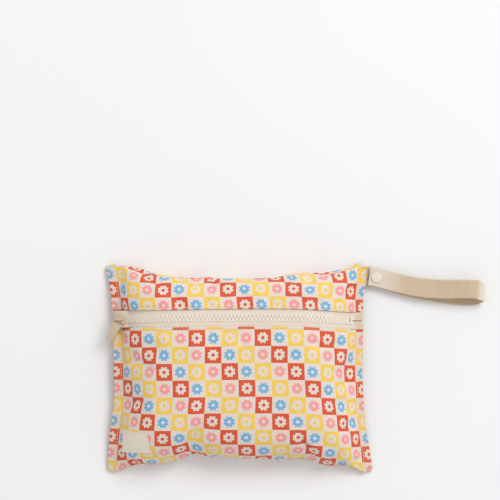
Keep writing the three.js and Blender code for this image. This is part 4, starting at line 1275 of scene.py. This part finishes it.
slider_at = Vector(zip_point(SLIDER_MIDDLE, 0.0, 0.0)) * MM
slider_place = Matrix.Translation(slider_at) @ Matrix.Rotation(-SLIDER_TILT, 4, "Y")
slider = join("slider", slider_parts())
slider.data.transform(slider_place)
smooth(slider, 40)
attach(slider, "bag")
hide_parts("zip_slider")
print("slider", len(slider.data.polygons), "faces")

# %% Pull
PULL_LENGTH = 25.2
PULL_WIDTH = 7.2
PULL_ANGLE = 58
PULL_DROP = 8
PULL_HOLE = (3.4, 5.4)
PULL_RIM = 1.05
PULL_CORNER = 0.96
PULL_WEB = 0.28  # half the thickness between the raised rims


def pull_parts():
    """The pull in its own frame: its bar on the X axis and its tab along Y."""
    angle = math.radians(PULL_ANGLE)
    hole_half = BRIDGE_REACH * math.sin(angle) + 0.5 * math.cos(angle) + GAP
    head_half = hole_half + PULL_BAR
    bar_reach = BRIDGE_REACH * math.cos(angle) + 1.0 * math.sin(angle)
    hole_length = math.hypot(BAR_LOW + BRIDGE_BAR - HINGE_UP, bar_reach) + 2 * GAP
    end_radius = PULL_WIDTH / 2
    straight = PULL_LENGTH - end_radius
    foot = PULL_CORNER - PULL_BAR / 2
    outside = [
        *arc(head_half - PULL_CORNER, foot, PULL_CORNER, -90, 0, 5), (head_half, hole_length),
        *arc(0, straight, end_radius, 0, 180, 20), (-head_half, hole_length),
        *arc(PULL_CORNER - head_half, foot, PULL_CORNER, 180, 270, 5),
    ]
    loop_hole = rounded_bar(-hole_half, hole_half, PULL_BAR / 2, hole_length, 0.6)
    well_top = hole_length + PULL_RIM
    well_half = lerp(head_half, end_radius, PULL_RIM / (straight - hole_length)) - PULL_RIM
    well_end = arc(0, straight, end_radius - PULL_RIM, 0, 180, 16)
    well = [(-well_half, well_top), (well_half, well_top), *well_end]
    hole_at = straight - 2 * GAP
    radius, stretch = PULL_HOLE[0] / 2, PULL_HOLE[1] / PULL_HOLE[0]
    end_hole = arc(0, hole_at, radius, 0, 345, 23, stretch)
    ring_out = arc(0, hole_at, radius + 0.6, 0, 345, 23, stretch * 0.9)
    inset = [(x * 0.93, lerp(hole_length, y, 0.985)) for x, y in outside if y > hole_length - 0.01]
    thick = PULL_THICKNESS / 2
    web_half, web_start = head_half * 0.93, hole_length + 0.3
    web = [(-web_half, web_start), (web_half, web_start), *inset[1:-1]]
    return [
        flat_plate("rim", [outside, loop_hole, well], -thick, thick, 0.28, 3),
        flat_plate("web", [web, end_hole], -PULL_WEB, PULL_WEB, 0.06, 1),
        flat_plate("ring", [ring_out, end_hole], -thick + 0.1, thick - 0.1, 0.2, 2),
    ]


pull_place = (
    slider_place
    @ Matrix.Translation(Vector((BRIDGE_AT, 0, HINGE_UP)) * MM)
    @ Matrix.Rotation(math.radians(90 + PULL_ANGLE), 4, "Z")
    @ Matrix.Rotation(-math.radians(PULL_DROP), 4, "X")
)
pull_tab = join("pull_tab", pull_parts())
pull_tab.data.transform(pull_place)
smooth(pull_tab, 40)
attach(pull_tab, "pull")
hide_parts("zip_pull")
print("pull", len(pull_tab.data.polygons), "faces")

# %% [markdown]
# The loop is flat cotton webbing. It is modelled straight along the source's route: a rounded
# cross-section is carried along a smooth curve, so that its length stays what it is. Its map runs
# along and across the webbing, for the ribs of the weave.

# %% The webbing's sizes and route
STRAP_WIDTH = 19.0
STRAP_THICKNESS = 1.4
STRAP_RUN = 119
STRAP_UP = 0.503
STRAP_STATIONS = 340
BEND_CURL = (2.6, 3.4)  # at the edge near the viewer and at the far one
BEND_REACH = 9.0
SELVEDGE_WAVE = 0.1
SELVEDGE_PITCH = 1.9
SNAP_CAP = 1.2
SNAP_FLANGE = 0.8
SNAP_SOCKET = 1.9
SNAP_HEIGHTS = {"back_cap": 0.0}
SNAP_HEIGHTS["lower_strap"] = SNAP_CAP + GAP
SNAP_HEIGHTS["stud"] = SNAP_HEIGHTS["lower_strap"] + STRAP_THICKNESS + GAP
SNAP_HEIGHTS["socket"] = SNAP_HEIGHTS["stud"] + SNAP_FLANGE + GAP
SNAP_HEIGHTS["upper_strap"] = SNAP_HEIGHTS["socket"] + SNAP_SOCKET + GAP
SNAP_HEIGHTS["front_cap"] = SNAP_HEIGHTS["upper_strap"] + STRAP_THICKNESS + GAP

tail_v = float(shares(np.float64(RIGHT_SEAM), np.float64(BAG_HEIGHT * STRAP_UP))[1])
TAIL = edge_point(1, np.float64(tail_v), 1.0, 0)
# Shares of the run along and to the side, what it lies on, the height over that in thicknesses,
# and how far it leans over.
STRAP_ROUTE = [
    (-0.036, 0.0, "edge", 0.26, -0.16), (0.0, 0.0, "edge", -1.59, -0.12),
    (0.035, -0.002, "under", 0.68, -0.03), (0.065, -0.008, "under", 0.5, 0.0),
    (0.155, -0.03, "under", 0.5, 0.0), (0.26, -0.068, "floor", 0.9, 0.0),
    (0.47, -0.118, "floor", 0.62, 0.0), (0.67, -0.152, "floor", 0.62, 0.0),
    (0.83, -0.17, "floor", 0.62, 0.0), (0.91, -0.166, "floor", 0.9, 0.05),
    (0.968, -0.152, "floor", 2.4, 0.1), (1.0, -0.134, "floor", 6.2, 0.14),
    (0.965, -0.118, "floor", 9.8, 0.16), (0.9, -0.112, "floor", 11.2, 0.17),
    (0.82, -0.11, "floor", 11.0, 0.17), (0.67, -0.112, "floor", 8.9, 0.13),
    (0.47, -0.1, "over", 2.06, 0.05), (0.26, -0.058, "over", 0.66, 0.0),
    (0.155, -0.028, "over", 0.5, 0.0), (0.065, -0.006, "over", 0.5, 0.0),
    (0.032, -0.001, "over", 0.5, 0.0),
]
# Shares of the run, and the slope across the plan of the webbing there.
HEADINGS = np.array([
    (-0.05, 0.0), (0.06, -0.14), (0.22, -0.3), (0.45, -0.21), (0.67, -0.08), (0.83, 0.0),
    (1.05, 0.03),
])
STRAP_LEVELS = {
    "floor": 0.0,
    "edge": float(TAIL[2]),
    "under": SNAP_HEIGHTS["lower_strap"],
    "over": SNAP_HEIGHTS["upper_strap"],
}
print("webbing leaves the seam at", TAIL.round(1), "mm")


# %% Webbing loop
def catmull_rom(points, stations):
    """A smooth curve through the points, whose bends follow the distances between them."""
    points = np.asarray(points)
    padded = np.concatenate([[2 * points[0] - points[1]], points, [2 * points[-1] - points[-2]]])
    made = []
    for t in np.linspace(0, len(points) - 1, stations + 1):
        k = min(int(t), len(points) - 2)
        w = t - k
        p0, p1, p2, p3 = padded[k : k + 4]
        d0, d1, d2 = (math.sqrt(np.linalg.norm(b - a)) for a, b in ((p0, p1), (p1, p2), (p2, p3)))
        m1 = ((p1 - p0) / d0 - (p2 - p0) / (d0 + d1) + (p2 - p1) / d1) * d1
        m2 = ((p2 - p1) / d1 - (p3 - p1) / (d1 + d2) + (p3 - p2) / d2) * d1
        square = 3 * (p2 - p1) - 2 * m1 - m2
        cube = 2 * (p1 - p2) + m1 + m2
        made.append(p1 + m1 * w + square * w * w + cube * w**3)
    return np.array(made)


def strap_frames():
    """The webbing's middle line, and its directions across and through at each station."""
    route = [
        (
            TAIL[0] + run * STRAP_RUN,
            BAG_HEIGHT * STRAP_UP + off * STRAP_RUN,
            STRAP_LEVELS[level] + lift * STRAP_THICKNESS,
        )
        for run, off, level, lift, _ in STRAP_ROUTE
    ]
    centres = catmull_rom(route, STRAP_STATIONS)
    along = np.gradient(centres, axis=0)
    along /= np.linalg.norm(along, axis=1, keepdims=True)
    leans = np.array([row[4] for row in STRAP_ROUTE])
    stations = np.linspace(0, len(leans) - 1, STRAP_STATIONS + 1)
    lean = np.interp(stations, np.arange(len(leans)), leans)
    heading = curve(HEADINGS[:, 0], HEADINGS[:, 1], (centres[:, 0] - TAIL[0]) / STRAP_RUN)
    wide = np.stack([-heading, np.ones_like(heading), lean], axis=1)
    wide -= along * (wide * along).sum(1, keepdims=True)
    wide /= np.linalg.norm(wide, axis=1, keepdims=True)
    return centres, wide, np.cross(wide, along)


def webbing():
    """The loop as one closed shape, and its length along its middle."""
    centres, wide, thick = strap_frames()
    half, thin = STRAP_WIDTH / 2, STRAP_THICKNESS / 2
    across = np.array([-1, -0.97, -0.9, -0.75, -0.55, -0.2, 0.2, 0.55, 0.75, 0.9, 0.97, 1])
    # The woven edges are a little thicker than the middle, and rounded.
    up = np.array([0.35, 0.8, 1.0, 0.94, 0.9, 0.88, 0.88, 0.9, 0.94, 1.0, 0.8, 0.35])
    section = [*zip(across * half, up * thin), *zip(across[::-1] * half, -up[::-1] * thin)]
    run = np.concatenate([[0], np.cumsum(np.linalg.norm(np.diff(centres, axis=0), axis=1))])
    # Each weft thread turns round the outermost warp, which gives the edges a fine wave.
    wave = SELVEDGE_WAVE * np.sin(2 * np.pi * run / SELVEDGE_PITCH)
    rings = []
    for w, h in section:
        edge = abs(w) / half > 0.95
        swing = wave * np.sign(w) if edge else 0 * wave
        rings.append(centres + wide * (w + swing)[:, None] + thick * h)
    points = np.stack(rings, axis=1)
    # At the bend both woven edges curl in, so that its corners look round from above.
    share = np.array([w for w, _ in section]) / half
    curl = np.where(share > 0, BEND_CURL[1], BEND_CURL[0]) * np.abs(share) ** 4
    bend = centres[:, 0].max()
    points[..., 0] -= curl * smoothstep(centres[:, :1], bend - BEND_REACH, bend)
    count, size = points.shape[:2]
    made = mesh_piece("webbing_loop", points, ring_faces(count, size))
    u = np.repeat(run[:, None], size, axis=1)
    v = np.repeat(np.array([[w for w, _ in section]]), count, axis=0)
    write_map(made, u, v)
    face_outwards(made)
    smooth(made, 50)
    return made, run[-1]


strap, strap_length = webbing()
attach(strap, "bag")
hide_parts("strap")
print("webbing", round(strap_length, 1), "mm long")

# %% [markdown]
# The snap has four pieces. A cap with a pin goes through each layer of webbing and is pressed into
# a socket or a stud on the other side. Each is a round turning, so its half outline is spun.

# %% Snap
SNAP_WIDTH = 10.7
SNAP_SEAT = 9.0
SNAP_PIN = 2.2
SNAP_BOSS = 4.0
PIN_SEAT = 0.3
SNAP_AT = 0.093
SNAP_SIDE = -0.013
SPIN_STEPS = 56
snap_x = float(TAIL[0]) + SNAP_AT * STRAP_RUN
snap_y = BAG_HEIGHT * STRAP_UP + SNAP_SIDE * STRAP_RUN


def turned(name, outline, height, closed=False):
    """A round piece spun from a half outline of radius and height."""
    count = len(outline)
    data = bpy.data.meshes.new(name)
    edges = [(k, (k + 1) % count) for k in range(count if closed else count - 1)]
    data.from_pydata([(r * MM, 0, z * MM) for r, z in outline], edges, [])
    made = bpy.data.objects.new(name, data)
    bpy.context.collection.objects.link(made)
    pick(made)
    bpy.ops.object.mode_set(mode="EDIT")
    bpy.ops.mesh.select_all(action="SELECT")
    bpy.ops.mesh.spin(steps=SPIN_STEPS, angle=2 * math.pi, center=(0, 0, 0), axis=(0, 0, 1))
    bpy.ops.mesh.select_all(action="SELECT")
    bpy.ops.mesh.remove_doubles(threshold=1e-6)
    bpy.ops.mesh.normals_make_consistent(inside=False)
    bpy.ops.object.mode_set(mode="OBJECT")
    made.data.transform(Matrix.Translation((snap_x * MM, snap_y * MM, height * MM)))
    smooth(made, 35)
    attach(made, "bag")
    return made


def cap_outline(way):
    """A cap with its pin: facing up for a way of 1 and down for -1."""
    r, c, pin = SNAP_WIDTH / 2, SNAP_CAP, SNAP_PIN / 2
    reach = STRAP_THICKNESS + 2 * GAP + PIN_SEAT
    rim = [
        (0.93, 0), (0.985, 0.12), (1, 0.33), (0.985, 0.52), (0.95, 0.7), (0.89, 0.83),
        (0.82, 0.87), (0.77, 0.8), (0.72, 0.8), (0.66, 0.88), (0.5, 0.96), (0.25, 1.0), (0, 1.0),
    ]
    shape = [(0, -reach), (pin, -reach), (pin, 0), *[(r * a, c * b) for a, b in rim]]
    return shape if way > 0 else [(a, c - b) for a, b in shape]


seat, boss, pin_room = SNAP_SEAT / 2, SNAP_BOSS / 2, SNAP_PIN / 2 + GAP
boss_top = SNAP_FLANGE + GAP + SNAP_SOCKET - PIN_SEAT - 2 * GAP
ledge = SNAP_SOCKET - PIN_SEAT - GAP / 2
stud_outline = [
    (0, PIN_SEAT + GAP), (pin_room, PIN_SEAT + GAP), (pin_room, 0), (seat - 0.1, 0), (seat, 0.1),
    (seat, SNAP_FLANGE - 0.1), (seat - 0.1, SNAP_FLANGE), (boss + 0.1, SNAP_FLANGE),
    (boss, SNAP_FLANGE + 0.1), (boss, boss_top - 0.2), (boss - 0.2, boss_top), (0, boss_top),
]
socket_outline = [
    (boss + GAP, 0), (seat - 0.1, 0), (seat, 0.1), (seat, SNAP_SOCKET - 0.15),
    (seat - 0.15, SNAP_SOCKET), (pin_room, SNAP_SOCKET), (pin_room, ledge), (boss + GAP, ledge),
]
snap_pieces = [
    turned("snap_cap_lower", cap_outline(-1), SNAP_HEIGHTS["back_cap"]),
    turned("snap_post", stud_outline, SNAP_HEIGHTS["stud"]),
    turned("snap_ring", socket_outline, SNAP_HEIGHTS["socket"], closed=True),
    turned("snap_cap_upper", cap_outline(1), SNAP_HEIGHTS["front_cap"]),
]
for made, node in zip(snap_pieces, ("snap_cap_back", "snap_stud", "snap_socket", "snap_cap_front")):
    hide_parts(node)
print("snap at", round(snap_x, 1), round(snap_y, 1))

# %% [markdown]
# The label is a small woven tag sewn to the front along its top and its two short edges. It is laid
# on the cloth by looking straight down at each of its points, and it is stiffer than the cloth, so
# it follows the bag's form but not its ripples.

# %% Label
LABEL_LEFT, LABEL_RIGHT_TOP, LABEL_RIGHT_BOTTOM = -0.4955, -0.384, -0.37
LABEL_BOTTOM, LABEL_TOP_LEFT, LABEL_TOP_RIGHT = -0.457, -0.335, -0.349
LABEL_WALL = 0.55
LABEL_LIFT = 0.45
LABEL_RIM = 0.16
LABEL_GRID = (37, 27)


def surface_of(piece):
    """Gives a function that finds a piece's height and normal at a place, seen from above."""

    def below(x, y):
        hit, where, normal, _ = piece.ray_cast(Vector((x * MM, y * MM, 0.1)), Vector((0, 0, -1)))
        return (where.z / MM, normal) if hit else (None, None)

    return below


def label_place(a, b):
    right = lerp(LABEL_RIGHT_BOTTOM, LABEL_RIGHT_TOP, b)
    top = lerp(LABEL_TOP_LEFT, LABEL_TOP_RIGHT, a)
    return BAG_WIDTH * lerp(LABEL_LEFT, right, a), BAG_HEIGHT * lerp(LABEL_BOTTOM, top, b)


def label_surface(columns, rows):
    """The label's points: the cloth's form below it, fitted without its ripples."""
    a, b = np.meshgrid(np.linspace(0, 1, columns), np.linspace(0, 1, rows), indexing="ij")
    x, y = label_place(a, b)
    z = np.array([cloth_below(px, py)[0] for px, py in zip(x.ravel(), y.ravel())]).reshape(x.shape)
    powers = [(i, j) for i in range(5) for j in range(4)]
    terms = np.stack([a**i * b**j for i, j in powers], axis=-1).reshape(-1, len(powers))
    fit = np.linalg.lstsq(terms, z.ravel(), rcond=None)[0]
    even = (terms @ fit).reshape(z.shape)
    z = np.maximum(even, z + 0.05) + LABEL_LIFT
    return np.stack([x, y, z], axis=-1)


cloth_below = surface_of(bag_cloth)
label_points = label_surface(*LABEL_GRID)
label = mesh_piece("label_tag", label_points, grid_faces(*LABEL_GRID))
write_map(label, arc_lengths(label_points, 0), arc_lengths(label_points, 1))
shape = bmesh.new()
shape.from_mesh(label.data)
if sum(f.normal.z for f in shape.faces) < 0:
    bmesh.ops.reverse_faces(shape, faces=shape.faces)
shape.to_mesh(label.data)
shape.free()
walled(label, LABEL_WALL, bevel=LABEL_RIM)
smooth(label, 50)
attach(label, "bag")
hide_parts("label")
print("label", len(label.data.polygons), "faces")

# %% [markdown]
# Stitches are short, slightly arched lengths of thread with a gap between them. One is shaped
# and copied along each seam: outside both side seams, along the zip's two edges, and round three
# sides of the label.

# %% Stitches
STITCH_LENGTH = 2.5
STITCH_STEP = 3.1
THREAD_WIDTH = 0.5
SEAM_OFF = 1.75  # from the side seam to its stitches
ZIP_OFF = 1.5  # from the cloth's edge to the zip's stitches
ZIP_CLEAR = 0.058  # left free on each side of the zip, as a share of the height


def stitch_model(length, width):
    """A stitch: a ball drawn out, blunt at both ends, arched and a little flat."""
    bpy.ops.object.select_all(action="DESELECT")
    bpy.ops.mesh.primitive_uv_sphere_add(segments=8, ring_count=8, radius=1.0)
    made = bpy.context.object
    made.name = "stitch_model"
    made.data.transform(Matrix.Rotation(math.pi / 2, 4, "Y"))
    for vertex in made.data.vertices:
        x, y, z = vertex.co
        flat = math.copysign(abs(x) ** 0.6, x)
        arch = 0.3 * width * (1 - x * x)
        vertex.co = (flat * length / 2 * MM, y * width / 2 * MM, (z * width * 0.42 + arch) * MM)
    return made


def stitches(path, surface, model, step, sink=0.05):
    """Stitches along a path of places on the plan, laid on a surface that gives height and normal."""
    path = np.asarray(path)
    run = np.concatenate([[0], np.cumsum(np.linalg.norm(np.diff(path, axis=0), axis=1))])
    at = np.arange(step / 2, run[-1], step)
    spots = np.stack([np.interp(at, run, path[:, k]) for k in range(2)], axis=1)
    origin, along, across, lift = [], [], [], []
    for (x, y), ahead in zip(spots, np.gradient(spots, axis=0)):
        height, normal = surface(x, y)
        if height is None:
            continue
        up = Vector(normal) if normal.z > 0 else -Vector(normal)
        way = Vector((*ahead, 0))
        way = (way - up * way.dot(up)).normalized()
        origin.append(Vector((x, y, height)) + up * -sink)
        along.append(way)
        across.append(up.cross(way))
        lift.append(up)
    return copies("run", model, *[np.array(v) for v in (origin, along, across, lift)])


def seam_path(sign, v0, v1):
    v = np.linspace(v0, v1, 80)
    return edge_point(sign, v, SEAM_OFF / EDGE_WIDTH, 1)[:, :2]


def zip_edge_path(way):
    x = np.linspace(LEFT_SEAM + 2.5, RIGHT_SEAM - 2.5, 200)
    return np.stack([x, zip_y(x) + way * (SLOT_WIDTH / 2 + ZIP_OFF)], axis=1)


model = stitch_model(STITCH_LENGTH, THREAD_WIDTH)
below_zip, above_zip = ZIP_V - ZIP_CLEAR, ZIP_V + ZIP_CLEAR
seam_runs = [
    stitches(seam_path(sign, v0, v1), cloth_below, model, STITCH_STEP)
    for sign in (-1, 1)
    for v0, v1 in ((0.012, below_zip), (above_zip, 0.988))
]
seam_stitches = join("seam_stitches", seam_runs)
zip_runs = [stitches(zip_edge_path(way), cloth_below, model, STITCH_STEP) for way in (-1, 1)]
zip_stitches = join("zip_stitches", zip_runs)
bpy.data.objects.remove(model)

# %% Stitches of the label
LABEL_INSET = 0.055
SMALL_LENGTH, SMALL_WIDTH, SMALL_STEP = 1.6, 0.34, 2.1
small_model = stitch_model(SMALL_LENGTH, SMALL_WIDTH)
label_lines = [
    [label_place(t, 1 - LABEL_INSET) for t in np.linspace(0.03, 0.97, 40)],
    [label_place(LABEL_INSET * 0.8, t) for t in np.linspace(0.03, 0.97, 40)],
    [label_place(1 - LABEL_INSET * 0.8, t) for t in np.linspace(0.03, 0.97, 40)],
]
on_label = surface_of(label)
label_runs = [stitches(line, on_label, small_model, SMALL_STEP, 0.04) for line in label_lines]
label_stitches = join("label_stitches", label_runs)
bpy.data.objects.remove(small_model)
for made, slot in (
    (seam_stitches, "printed_cloth"),
    (zip_stitches, "printed_cloth"),
    (label_stitches, "woven_tag"),
):
    smooth(made, 60)
    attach(made, "bag")
    print(made.name, len(made.data.polygons), "faces")

# %% [markdown]
# The other finishes are all near ecru, so they differ by their grain: the tapes' herringbone, the
# webbing's ribs, the label's satin, the satin sheen of moulded teeth and the gloss of painted metal.
# The tapes get painted shade at both ends, and the webbing gets painted shade inside its bend, a
# painted highlight on the bend, and is paler near the snap.

# %% Tape, webbing, label and thread
TAPE_SHADE_LEFT, TAPE_SHADE_RIGHT = -0.1125, 0.1145  # where the painted shade at the tapes' ends starts
WEFT_RIB = 0.00095


def woven_tape():
    """Herringbone tape, with painted shade at both ends."""
    finish = Finish("zip_tape", Roughness=0.85, Specular_IOR_Level=0.2, Sheen_Weight=0.1)
    where, u, v, _ = finish.place("UV")
    stripe = (v / 0.0011).floor().even() * 2 - 1
    rib = ((u + v * stripe) * (2 * math.pi / 0.0009)).wave()
    edge = (v * (2 * math.pi / 0.0011)).wave()
    grain = finish.noise(where, 1200.0, 2.0)
    tone = finish.noise(where, 90.0, 3.0)
    base = finish.mix(tone, colour(226, 212, 194), colour(238, 226, 211))
    shade = finish.mix((rib * 0.5 + 0.5) * 0.18, base, colour(205, 188, 166))
    # Painted shade at both ends of the tapes, darker and browner.
    _, x, _, _ = finish.place("Object")
    painted_end_shade = ((TAPE_SHADE_LEFT - x) / 0.006).clip() + ((x - TAPE_SHADE_RIGHT) / 0.004).clip()
    wear_and_shade = finish.mix(painted_end_shade * 0.45, shade, colour(190, 168, 140))
    height = rib * 0.5 + grain * 0.6 + abs(edge) * 0.3
    return finish.paint(Base_Color=wear_and_shade, Normal=finish.bump(height, 0.0002, 0.5))


def ribbed_webbing(length):
    """Cotton webbing, with painted shade inside its bend, a painted highlight on the bend, and paler
    near the snap.
    """
    finish = Finish("ribbed_webbing", Roughness=0.9, Specular_IOR_Level=0.15, Sheen_Weight=0.2)
    where, u, v, _ = finish.place("UV")
    wander = finish.noise(where, 500.0, 2.0) * 0.0006
    weft = ((u + wander) * (2 * math.pi / WEFT_RIB)).wave()
    warp = (v * (2 * math.pi / 0.0007)).wave()
    weave = weft * 0.6 + weft * warp * 0.4
    slub = finish.noise(where, 260.0, 4.0, 0.6)
    tone = finish.noise(where, 60.0, 3.0)
    base = finish.mix(tone, colour(208, 185, 154), colour(221, 200, 172))
    # Painted shade on the inner face from the bend back to where the layers lie together, and a
    # painted highlight on the top of the bend.
    bend = (length / 2 + 2) * MM
    shaded = ((bend - 0.004 - u) / 0.006).clip() * ((u - bend + 0.045) / 0.035).clip()
    inner = finish.mix(shaded * 0.4, base, colour(196, 152, 122))
    painted_bend_highlight = (1.6 - abs(u - (bend + 0.006)) / 0.0055).clip()
    paler = finish.mix(painted_bend_highlight * 0.75, inner, colour(242, 235, 222))
    # Paler towards the snap end.
    near_snap = ((u - (length - 36) * MM) / 0.022).clip()
    paler_near_snap = finish.mix(near_snap * 0.85, paler, colour(232, 222, 210))
    thready = finish.mix((slub - 0.5).larger(0) * 0.9, paler_near_snap, colour(238, 228, 208))
    shade = finish.mix((0.5 - weave * 0.5) * 0.22, thready, colour(176, 150, 120))
    return finish.paint(Base_Color=shade, Normal=finish.bump(weave + slub * 0.8, 0.00022, 0.6))


def satin_tag():
    finish = Finish("woven_tag", Roughness=0.55, Specular_IOR_Level=0.35, Sheen_Weight=0.15)
    where, _, v, _ = finish.place("UV")
    rib = (v * (2 * math.pi / 0.0006)).wave()
    slub = finish.noise(where, 800.0, 3.0)
    tone = finish.noise(where, 120.0, 2.0)
    base = finish.mix(tone, colour(228, 216, 198), colour(236, 225, 209))
    return finish.paint(Base_Color=base, Normal=finish.bump(rib * 0.5 + slub, 0.00012, 0.5))


def sewing_thread(name, light, dark):
    finish = Finish(name, Roughness=0.7, Specular_IOR_Level=0.3)
    _, x, y, _ = finish.place("Object")
    twist = ((x + y) * (2 * math.pi / 0.0005)).wave()
    base = finish.mix(twist * 0.5 + 0.5, dark, light)
    return finish.paint(Base_Color=base, Normal=finish.bump(twist, 0.0001, 0.4))


for made in tapes:
    dress(made, woven_tape())
dress(strap, ribbed_webbing(strap_length))
dress(label, satin_tag())
seam_thread = sewing_thread("seam_thread", colour(244, 236, 226), colour(222, 208, 194))
# The zip's thread is browner than the seams' thread: partly thread, partly painted shade for the
# shadow line along the cloth's turned edge by the zip.
shaded_zip_thread = sewing_thread("shaded_zip_thread", colour(236, 214, 190), colour(206, 180, 152))
tag_thread = sewing_thread("tag_thread", colour(226, 214, 194), colour(200, 186, 164))
dress(seam_stitches, seam_thread)
dress(zip_stitches, shaded_zip_thread)
dress(label_stitches, tag_thread)


# %% Teeth, slider and snap
def moulded_plastic(name, light, dark, roughness, grain):
    finish = Finish(name, Specular_IOR_Level=0.5)
    where, *_ = finish.place("Object")
    cloud = finish.noise(where, 180.0, 2.0)
    fine = finish.noise(where, 2600.0, 2.0)
    base = finish.mix(cloud, dark, light)
    rough = cloud * 0.12 + roughness
    return finish.paint(Base_Color=base, Roughness=rough, Normal=finish.bump(fine, 0.00006, grain))


teeth_light, teeth_dark = colour(238, 227, 213), colour(230, 218, 202)
snap_light, snap_dark = colour(230, 221, 209), colour(222, 212, 199)
teeth_finish = moulded_plastic("moulded_teeth", teeth_light, teeth_dark, 0.42, 0.25)
snap_finish = moulded_plastic("snap_plastic", snap_light, snap_dark, 0.34, 0.12)
for made in plastic_pieces:
    dress(made, teeth_finish)
for made in snap_pieces:
    dress(made, snap_finish)


def painted_metal():
    """Enamel over cast metal: smooth, a little uneven, with tiny specks where the enamel has come
    off.
    """
    finish = Finish("painted_metal", Specular_IOR_Level=0.55, Coat_Weight=0.7, Coat_Roughness=0.1)
    where, *_ = finish.place("Object")
    cloud = finish.noise(where, 220.0, 2.0)
    specks = ((finish.noise(where, 1500.0, 3.0, 0.7) - 0.68) * 9.0).clip()
    base = finish.mix(cloud, colour(202, 178, 150), colour(214, 192, 165))
    wear_and_shade = finish.mix(specks, base, colour(168, 158, 146))
    rough = cloud * 0.1 + 0.3
    level = finish.bump(finish.noise(where, 500.0, 2.0), 0.0001, 0.3)
    return finish.paint(Base_Color=wear_and_shade, Roughness=rough, Normal=level)


enamel = painted_metal()
dress(slider, enamel)
dress(pull_tab, enamel)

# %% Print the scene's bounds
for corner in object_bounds():
    print([round(v, 4) for v in corner])
